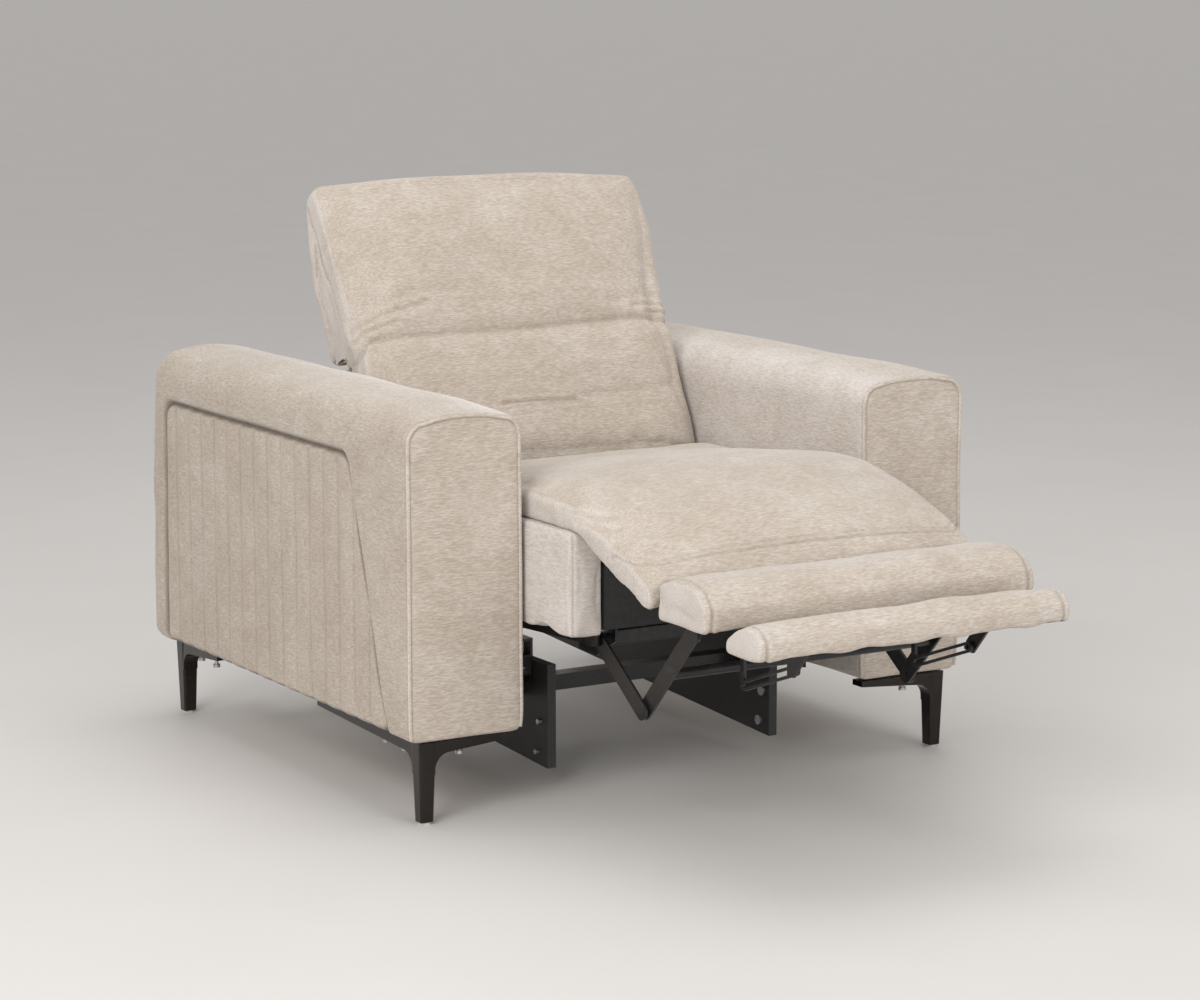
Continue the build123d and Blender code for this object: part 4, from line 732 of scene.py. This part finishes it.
def makePanel(name, side):
    low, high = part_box(f"{name}_side_panel")
    face = max(abs(low.x), abs(high.x)) - 0.0065
    outline = panelOutline(name, 0.0015)
    ends = sorted((side * (face - panel["thick"]), side * face))
    piece = sectionBlock(f"{name}SidePanel", outline, *ends)
    remesh(piece, panel["voxel"])
    relax(piece)
    refine(piece)
    points = readPoints(piece)
    depth = outlineDistance(points[:, 1], points[:, 2], outline)
    outward = smoothStep(points[:, 0] * side, face - 0.010, face - 0.003)
    along = (points[:, 1] - low.y - 0.012) / panel["ribPitch"]
    part = np.abs(along - np.floor(along) - 0.5) * panel["ribPitch"]     # from the rib's middle
    away = panel["ribPitch"] / 2 - part                                  # from the stitched line
    rib = 1 - (part * 2 / panel["ribPitch"]) ** 2
    edge = smoothStep(depth, -0.002, panel["edgeRoll"]) ** 0.5
    sewn = smoothStep(depth, 0.006, 0.014)
    wander = 0.0010 * np.sin(points[:, 2] * 19 + np.floor(along) * 2.1) * np.sin(points[:, 1] * 9)
    lift = (panel["ribHeight"] * rib + wander) * edge - 0.006 * (1 - edge)
    lift -= panel["stitch"] * np.exp(-(away / panel["seamWidth"]) ** 2) * sewn
    points[:, 0] += side * lift * outward
    writePoints(piece, points)
    # painted shade in the stitched lines, and a darker painted shade along the panel's edge
    paintedStitchShade = 0.24 * np.exp(-(away / 0.0024) ** 2) * sewn
    paintGrooveShade(piece, np.maximum(paintedStitchShade, 0.85 * smoothStep(-depth, -0.0080, -0.0025)))
    return piece


def makeArmWelt(name, side, armPiece):
    # runs round the flat front, up one side, over the top and down the other
    low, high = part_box(f"{name}_arm_cover")
    inner, outer = sorted((abs(low.x), abs(high.x)))
    inset = arm["gap"] + 0.0015
    corner = arm["edgeRound"] - 0.004
    top = arm["shoulder"]
    base = low.z + 0.005
    marks = []
    for end, way in ((inner + inset, 1), (outer - inset, -1)):
        half = [(end, base + (top - corner - base) * t) for t in (0, 0.25, 0.5, 0.75, 0.95)]
        for step in range(7):
            angle = math.radians(step * 15)
            half.append((end + way * corner * (1 - math.cos(angle)),
                         top - corner + corner * math.sin(angle) - 0.002))
        half.append(((inner + outer) / 2 - way * 0.022, top + arm["frontCrown"]))
        marks.append(half)
    marks = marks[0] + marks[1][::-1]
    line = curvePath([(side * x, low.y, z) for x, z in marks], 4)
    line = onSurface(armPiece, line)
    # the groove beside the welt, with painted shade in it
    pressSeam(armPiece, [line], 0.0022, 0.0050, 0.0, 0.5)
    return rollTube(f"{name}ArmWelt", onSurface(armPiece, line, 0.0010), arm["welt"])


for name, side in sides:
    armPiece = makeArm(name, side)
    welt = makeArmWelt(name, side, armPiece)
    finishPiece(armPiece, "base", finishes["armChenillePaintedLightShade"], [f"{name}_arm_cover"])
    finishPiece(welt, "base", finishes["padChenillePaintedLight"])
    finishPiece(makePanel(name, side), "base", finishes["sideChenillePaintedShade"],
                [f"{name}_side_panel"])
print("arms ready")


# seat and its front lip
seat = {
    "halfWidth": 0.296,
    "voxel": 0.006,
    "pressure": 4.0,
    "cap": 0.009,
    "rest": 0.4508,         # its flat underside
    "board": [(-0.499, 0.3655), (-0.332, 0.4330), (-0.300, 0.4515)],     # underside along the lip
    "reach": (0.3065, -0.5065, 0.271),     # most to each side, in front and behind
    # (y, z, round) of the long section, rear first
    "section": [
        (0.266, 0.4515, 0.002), (-0.300, 0.4515, 0), (-0.318, 0.4430, 0), (-0.332, 0.4330, 0),
        (-0.499, 0.3655, 0.006), (-0.5035, 0.395, 0), (-0.4985, 0.412, 0.010), (-0.468, 0.439, 0),
        (-0.420, 0.466, 0), (-0.360, 0.490, 0), (-0.300, 0.506, 0), (-0.240, 0.515, 0),
        (-0.180, 0.517, 0), (-0.120, 0.512, 0), (-0.050, 0.503, 0), (0.000, 0.495, 0),
        (0.060, 0.485, 0), (0.120, 0.474, 0), (0.200, 0.466, 0), (0.250, 0.462, 0),
        (0.266, 0.4585, 0.003)],
    # how far the sides fall below the middle, by y
    "fallAt": [-0.51, -0.46, -0.36, -0.25, 0.05, 0.26],
    "fall": [0.012, 0.026, 0.028, 0.023, 0.018, 0.006],
    # creases seen from above: their marks, then depth, width and swell
    "creases": [
        ([[(-0.296, -0.255), (-0.286, -0.300), (-0.262, -0.345), (-0.222, -0.375)],
          [(-0.297, -0.292), (-0.289, -0.335), (-0.272, -0.375)]], (0.0032, 0.0060, 0.0016)),
        ([[(-0.285, -0.190), (-0.235, -0.225), (-0.160, -0.235)]], (0.0012, 0.0100, 0.0008))],
}


def makeSeat():
    half = seat["halfWidth"]
    piece = sectionBlock("seatCover", roundedOutline(seat["section"], 5), -half, half, cuts=29)
    points = readPoints(piece)
    share = np.abs(points[:, 0]) / half
    floor = np.interp(points[:, 1], *zip(*seat["board"]))
    upper = smoothStep(points[:, 2], floor + 0.004, floor + 0.030)
    points[:, 2] -= np.interp(points[:, 1], seat["fallAt"], seat["fall"]) * share ** 2.2 * upper
    points[:, 2] -= 0.007 * smoothStep(share, 0.93, 1.0) * upper
    writePoints(piece, points)
    remesh(piece, seat["voxel"])
    relax(piece)
    stuff(piece, seat["pressure"], seat["cap"])
    refine(piece)
    points = readPoints(piece)
    # flat on the bolsters and the core, wrapped under the lip's board, clear of the arms
    y, z = points[:, 1], points[:, 2]
    under = np.interp(y, [-0.4985, -0.330], [0.3640, 0.4325])
    z[:] = np.where(y > -0.305, np.maximum(z, seat["rest"]), z)
    z[:] = np.where(y < -0.330, np.maximum(z, under), z)
    wide, front, rear = seat["reach"]
    points[:, 0] = np.clip(points[:, 0], -wide, wide)
    points[:, 1] = np.clip(points[:, 1], front, rear)
    # the hem waves a little along both sides of the lip
    hem = 1 - smoothStep(points[:, 2], under + 0.004, under + 0.024)
    hem *= smoothStep(-points[:, 1], 0.315, 0.345) * smoothStep(np.abs(points[:, 0]), 0.282, 0.296)
    wave = 0.0016 * np.sin(points[:, 1] * 62 + 1.3) + 0.0008 * np.sin(points[:, 1] * 117)
    points[:, 2] -= hem * (0.0030 + wave)
    writePoints(piece, points)
    return piece


def seatLine(piece, marks):
    # marks are (x, y); the line drops onto the seat from above
    return onSurface(piece, curvePath([(x, y, 0.6) for x, y in marks], 12), 0.0, (0, 0, -1))


seatCover = makeSeat()
for shift, depth in ((0.0, 0.0018), (0.0065, 0.0012)):
    frontSeam = seatLine(seatCover, [
        (-0.296 + shift, -0.400), (-0.293 + shift, -0.432), (-0.276 + shift, -0.462 + shift),
        (-0.235, -0.474 + shift), (0.0, -0.478 + shift), (0.235, -0.474 + shift),
        (0.276 - shift, -0.462 + shift), (0.293 - shift, -0.432), (0.296 - shift, -0.400)])
    # painted shade in the front seam
    pressSeam(seatCover, [frontSeam], depth, 0.0024, 0.0004, depth * 130)
creases = [([seatLine(seatCover, marks) for marks in lines], press) for lines, press in seat["creases"]]
for lines, press in creases:
    pressSeam(seatCover, lines, *press)
ripple(seatCover, 0.22, 0.0020, 5, lambda p: smoothStep(p[:, 2], 0.462, 0.485))
finishPiece(seatCover, None, finishes["chenille"], ["seat_cushion", "lip_cushion"])
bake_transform(seatCover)
print("seat ready")


# bolsters under the seat
bolster = {"round": 0.004, "voxel": 0.005, "pressure": 3.0, "cap": 0.004, "hem": 0.0035}


def makeBolster(name, side):
    low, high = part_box(f"{name}_bolster")
    outline = roundedOutline([
        (low.y + 0.002, low.z + 0.006, 0.006), (high.y, low.z + 0.006, 0.006),
        (high.y, high.z - 0.001, 0.008), (low.y + 0.002, high.z - 0.001, 0.016)])
    piece = sectionBlock(f"{name}Bolster", outline, low.x + 0.002, high.x - 0.002)

    def endRing(a, b):
        return abs(a.x - b.x) < 1e-4
    roundEdges(piece, endRing, bolster["round"], 3)
    remesh(piece, bolster["voxel"])
    stuff(piece, bolster["pressure"], bolster["cap"], 14)
    refine(piece)
    points = readPoints(piece)
    drop = 1 - smoothStep(points[:, 2], low.z + 0.006, low.z + 0.05)
    wave = np.sin(points[:, 1] * 46 + side) + 0.6 * np.sin(points[:, 1] * 83 + points[:, 0] * 40)
    points[:, 2] += bolster["hem"] * wave * drop
    points[:, 2] = np.clip(points[:, 2], low.z - 0.004, high.z - 0.0003)
    points[:, 0] = np.clip(points[:, 0], low.x + 0.0003, high.x - 0.0003)
    writePoints(piece, points)
    corner = low.x if side < 0 else high.x
    heights = (low.z, low.z + 0.06, high.z - 0.03, high.z)
    seam = onSurface(piece, curvePath([(corner, low.y + 0.001, z) for z in heights], 6))
    # painted shade in the corner seam
    pressSeam(piece, [seam], 0.0015, 0.003, 0.0006, 0.4)
    return piece


for name, side in sides:
    finishPiece(makeBolster(name, side), "carriage", finishes["bolsterChenillePaintedLight"],
                [f"{name}_bolster"])

coreLow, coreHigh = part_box("seat_core")
coreBlock = sectionBlock("seatCore", [
    (coreLow.y, coreLow.z + 0.0005), (coreHigh.y, coreLow.z + 0.0005),
    (coreHigh.y, coreHigh.z - 0.0005), (coreLow.y, coreHigh.z - 0.0005)], coreLow.x, coreHigh.x, cuts=8)
roundEdges(coreBlock, onEnd(coreHigh.x), 0.004, 3)
finishPiece(coreBlock, "carriage", finishes["foam"], ["seat_core"])
print("bolsters ready")


# footrest pads
firstPad = {
    "half": 0.290, "voxel": 0.005, "pressure": 4.0, "cap": 0.007, "seed": 7,
    # (y, z, round) from the rear foot over the top to the front foot
    "section": [
        (-0.5125, 0.3580, 0.004), (-0.5125, 0.4080, 0.010), (-0.548, 0.4175, 0),
        (-0.590, 0.4190, 0), (-0.620, 0.4120, 0.018), (-0.6380, 0.3900, 0.016),
        (-0.6370, 0.3600, 0.010), (-0.600, 0.3575, 0)],
}
secondPad = {
    "half": 0.270, "voxel": 0.005, "pressure": 4.0, "cap": 0.006, "seed": 12,
    "section": [
        (-0.6555, 0.3385, 0.003), (-0.6575, 0.3520, 0.005), (-0.680, 0.3670, 0),
        (-0.706, 0.3775, 0), (-0.730, 0.3775, 0.014), (-0.7455, 0.3620, 0.014),
        (-0.7450, 0.3390, 0.008), (-0.720, 0.3365, 0)],
}


def makePad(name, settings):
    half = settings["half"]
    outline = roundedOutline(settings["section"], 4)
    piece = sectionBlock(name, outline, -half, half, cuts=9)
    roundEdges(piece, onEnd(half), 0.006, 3)
    remesh(piece, settings["voxel"])
    stuff(piece, settings["pressure"], settings["cap"])
    refine(piece)
    points = readPoints(piece)
    floor = min(z for _, z in outline)
    points[:, 2] = np.maximum(points[:, 2], floor - 0.0006)
    low, high = min(y for y, _ in outline), max(y for y, _ in outline)
    points[:, 1] = np.clip(points[:, 1], low - 0.008, high + 0.0028)
    # the hem hangs just past the board in front and at both ends, in slow waves
    rim = np.minimum(points[:, 1] - low, half - np.abs(points[:, 0]))
    hem = (1 - smoothStep(points[:, 2], floor, floor + 0.016)) * (1 - smoothStep(rim, 0.004, 0.014))
    wave = np.sin(points[:, 0] * 58 + points[:, 1] * 30) + 0.6 * np.sin(points[:, 0] * 97 + 1)
    points[:, 2] -= hem * (0.0034 + 0.0016 * wave)
    writePoints(piece, points)
    # end caps are sewn in, with painted shade in their seams
    seams = []
    for side in (-1, 1):
        ring = [Vector((side * (half - 0.012), y, z)) for y, z in outline + outline[:1]]
        seams.append(onSurface(piece, ring))
    pressSeam(piece, seams, 0.0022, 0.0028, 0.0008, 0.35)
    ripple(piece, 0.13, 0.0012, settings["seed"],
           lambda p: smoothStep(p[:, 2], floor + 0.01, floor + 0.03))
    return piece


finishPiece(makePad("footPad", firstPad), "footrest", finishes["padChenillePaintedLight"],
            ["foot_cushion"])
finishPiece(makePad("extensionPad", secondPad), "extension", finishes["padChenillePaintedLight"],
            ["extension_cushion"])
print("footrest ready")


# back
back = {
    "foot": (0.283, 0.458), "lean": 22.0,
    "headFoot": (0.37532, 0.67847), "headLean": 29.0,
    "half": 0.300,
    "headWiden": 1.040,
    "voxel": 0.006, "pressure": 4.0, "cap": 0.010,
    "seam": 0.2265,                    # height of the seam over the back's foot
    # (up, behind, round); the first list goes up the back, the second round the headrest
    "front": [(-0.003, 0.010, 0.008), (0.050, 0.008, 0), (0.100, 0.009, 0), (0.160, 0.005, 0),
              (0.205, 0.007, 0), (0.2265, 0.012, 0)],
    "head": [(0.008, 0.007, 0), (0.050, 0.004, 0), (0.150, 0.003, 0), (0.240, 0.008, 0),
             (0.276, 0.020, 0.016), (0.274, 0.060, 0.018), (0.205, 0.087, 0), (0.120, 0.115, 0),
             (0.020, 0.143, 0.014), (-0.010, 0.140, 0.010), (0.006, 0.084, 0)],
    "rear": [(0.205, 0.0710, 0), (-0.003, 0.0710, 0.004)],
    # lines on the front: marks (x, up), depth, width
    "seamMarks": [(-0.303, 0.192), (-0.293, 0.210), (-0.270, 0.2255), (-0.150, 0.2265), (0.0, 0.2270),
                  (0.120, 0.2300), (0.210, 0.2330), (0.270, 0.2290), (0.303, 0.2200)],
    "tucks": [
        ([(-0.070, 0.0995), (0.0, 0.0985), (0.072, 0.0970)], 0.0030, 0.0026),
        ([(-0.045, 0.0925), (0.020, 0.0920), (0.080, 0.0920)], 0.0014, 0.0022),
        ([(0.060, 0.0990), (0.160, 0.1040), (0.270, 0.1120)], 0.0014, 0.0070),
        ([(-0.270, 0.1040), (-0.180, 0.1010), (-0.060, 0.0990)], 0.0014, 0.0100)],
    "folds": [
        ([(-0.300, 0.246), (-0.262, 0.262), (-0.170, 0.281)], 0.0034, 0.0060),
        ([(-0.303, 0.262), (-0.270, 0.280), (-0.200, 0.296), (-0.110, 0.300)], 0.0022, 0.0085),
        ([(-0.300, 0.228), (-0.283, 0.241), (-0.235, 0.250)], 0.0028, 0.0045),
        ([(0.304, 0.250), (0.280, 0.256), (0.225, 0.254)], 0.0036, 0.0045),
        ([(0.304, 0.266), (0.270, 0.270), (0.180, 0.266)], 0.0024, 0.0070),
        ([(0.303, 0.236), (0.285, 0.241), (0.250, 0.243)], 0.0026, 0.0036)],
}
shell = {
    "half": 0.288, "reach": 0.2950, "voxel": 0.008, "pressure": 3.0, "cap": 0.006,
    "front": 0.0765,                   # least depth behind the back's foot, clear of the frame
    "outline": [(-0.056, 0.078, 0.010), (0.205, 0.078, 0.006), (0.205, 0.124, 0.014),
                (-0.056, 0.124, 0.014)],
}


def leaning(foot, lean, up, behind):
    # (y, z) of a place up and behind the foot of a leaning pad
    tilt = math.radians(lean)
    return (foot[0] + up * math.sin(tilt) + behind * math.cos(tilt),
            foot[1] + up * math.cos(tilt) - behind * math.sin(tilt))


def backPoint(up, behind):
    return leaning(back["foot"], back["lean"], up, behind)


def headPoint(up, behind):
    return leaning(back["headFoot"], back["headLean"], up, behind)


def backAxes(points):
    # how far each point lies up the back and behind its front
    tilt = math.radians(back["lean"])
    y, z = points[:, 1] - back["foot"][0], points[:, 2] - back["foot"][1]
    return y * math.sin(tilt) + z * math.cos(tilt), y * math.cos(tilt) - z * math.sin(tilt)


def backLine(piece, marks):
    # marks are (x, up); the line lands on the front face
    tilt = math.radians(back["lean"])
    line = curvePath([(x, *backPoint(up, 0)) for x, up in marks])
    return onSurface(piece, line, 0.0, (0, math.cos(tilt), -math.sin(tilt)))


def makeBackCover():
    half = back["half"]
    outline = [(*backPoint(up, behind), turn) for up, behind, turn in back["front"]]
    outline += [(*headPoint(up, behind), turn) for up, behind, turn in back["head"]]
    outline += [(*backPoint(up, behind), turn) for up, behind, turn in back["rear"]]
    piece = sectionBlock("backCover", roundedOutline(outline, 5), -half, half, cuts=13)
    roundEdges(piece, onEnd(half), 0.016, 4)
    points = readPoints(piece)
    up, behind = backAxes(points)
    share = np.abs(points[:, 0]) / half
    # both pads are crowned, the headrest more, and its edges turn back
    crown = 0.006 * np.clip(1 - ((up - 0.11) / 0.11) ** 2, 0, 1)
    crown += 0.010 * np.clip(1 - ((up - 0.37) / 0.14) ** 2, 0, 1)
    onHead = smoothStep(up, back["seam"], back["seam"] + 0.05)
    bulge = crown * (1 - share ** 2.2) - (0.006 + 0.012 * onHead) * share ** 5
    bulge *= 1 - smoothStep(behind, 0.012, 0.060)
    tilt = math.radians(back["lean"])
    points[:, 1] -= bulge * math.cos(tilt)
    points[:, 2] += bulge * math.sin(tilt)
    # the headrest's top edge is crowned too, and it is wider than the back
    points[:, 2] += (0.009 * (1 - share ** 2) - 0.005 * share ** 6) * smoothStep(up, 0.44, 0.50)
    points[:, 0] *= 1 + (back["headWiden"] - 1) * smoothStep(up, 0.235, 0.330)
    writePoints(piece, points)
    remesh(piece, back["voxel"])
    stuff(piece, back["pressure"], back["cap"])
    refine(piece)
    points = readPoints(piece)
    up, behind = backAxes(points)
    # between the arms, in front of the frame, and off the seat
    reach = 0.3075 + 0.0090 * smoothStep(up, 0.260, 0.330)
    points[:, 0] = np.clip(points[:, 0], -reach, reach)
    over = np.where(up < 0.212, np.maximum(behind - 0.0745, 0), 0)
    under = np.minimum(up + 0.008, 0)
    points[:, 1] -= over * math.cos(tilt) + under * math.sin(tilt)
    points[:, 2] += over * math.sin(tilt) - under * math.cos(tilt)
    writePoints(piece, points)
    return piece


backCover = makeBackCover()
ripple(backCover, 0.20, 0.0022, 8)
seam = backLine(backCover, back["seamMarks"])
pressSeam(backCover, [seam], 0.0030, 0.0120, 0.0012)
# a narrow groove in the seam, with painted shade in it
pressSeam(backCover, [seam], 0.0036, 0.0032, 0.0008, 0.6)
for marks, depth, width in back["tucks"]:
    dark = depth * 110 if width < 0.004 else 0.0           # only the sewn ones get painted shade
    pressSeam(backCover, [backLine(backCover, marks)], depth, width, depth * 0.25, dark)
for marks, depth, width in back["folds"]:
    pressSeam(backCover, [backLine(backCover, marks)], depth, width, depth * 0.35)
for side in (-1, 1):
    marks = [(side * 0.320, *headPoint(up, 0.054)) for up in (0.0, 0.06, 0.13, 0.20, 0.245)]
    # painted shade in the headrest's side seams
    pressSeam(backCover, [onSurface(backCover, curvePath(marks, 12))], 0.0022, 0.0026, 0.0008, 0.35)
finishPiece(backCover, None, finishes["chenille"], ["lumbar_cushion", "headrest_cushion"])
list(backPoint(0.2124, 0.0262))
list(backPoint(0.2375, 0.0330))
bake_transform(backCover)


def makeShell():
    half = shell["half"]
    outline = [(*backPoint(up, behind), turn) for up, behind, turn in shell["outline"]]
    piece = sectionBlock("backShell", roundedOutline(outline, 5), -half, half, cuts=9)
    roundEdges(piece, onEnd(half), 0.012, 4)
    remesh(piece, shell["voxel"])
    stuff(piece, shell["pressure"], shell["cap"], 14)
    refine(piece)
    points = readPoints(piece)
    up, behind = backAxes(points)
    tilt = math.radians(back["lean"])
    short = np.maximum(shell["front"] - behind, 0)
    points[:, 1] += short * math.cos(tilt)
    points[:, 2] -= short * math.sin(tilt)
    points[:, 0] = np.clip(points[:, 0], -shell["reach"], shell["reach"])
    writePoints(piece, points)
    return piece


finishPiece(makeShell(), "back", finishes["chenille"], ["back_panel"])
print("back ready")


# room, light and camera
room = {"floor": 200.0, "air": (0.90, 0.89, 0.88, 1), "airLight": 0.70}
clearSelection()
bpy.ops.mesh.primitive_plane_add(size=room["floor"], location=(0, 0, 0))
ground = bpy.context.object
ground.name = "ground"
groundFinish = Finish("ground")
cloud = groundFinish.noise(3.0, detail=3.0)
ground.data.materials.append(groundFinish.surface(
    colour=groundFinish.mix(cloud, paint(0.60, 0.58, 0.56), paint(0.64, 0.62, 0.60)), roughness=0.6))

world = bpy.data.worlds.new("room")
bpy.context.scene.world = world
world.use_nodes = True
world.node_tree.nodes["Background"].inputs["Color"].default_value = room["air"]
world.node_tree.nodes["Background"].inputs["Strength"].default_value = room["airLight"]
bpy.context.scene.view_settings.view_transform = "Standard"

lights = {
    "key": {"place": (-3.6, -2.4, 2.6), "size": 2.4, "power": 124},
    "fill": {"place": (0.8, -4.8, 2.0), "size": 3.0, "power": 75},
    "top": {"place": (0.3, 0.6, 4.0), "size": 3.0, "power": 50},
}
for name, light in lights.items():
    clearSelection()
    bpy.ops.object.light_add(type="AREA", location=light["place"])
    lamp = bpy.context.object
    lamp.name = name + "Light"
    lamp.data.size = light["size"]
    lamp.data.energy = light["power"]
    lamp.rotation_euler = (Vector((0, 0, 0.35)) - lamp.location).to_track_quat("-Z", "Y").to_euler()

view = {"place": (-2.7425, -4.4073, 1.3094), "turn": 31.19, "down": 9.62, "lens": 99.4}
clearSelection()
bpy.ops.object.camera_add(location=view["place"])
camera = bpy.context.object
camera.name = "viewCamera"
camera.rotation_euler = (math.radians(90 - view["down"]), 0, math.radians(-view["turn"]))
camera.data.lens = view["lens"]
camera.data.sensor_width = 36
camera.data.clip_end = 300
bpy.context.scene.camera = camera
print("room ready")
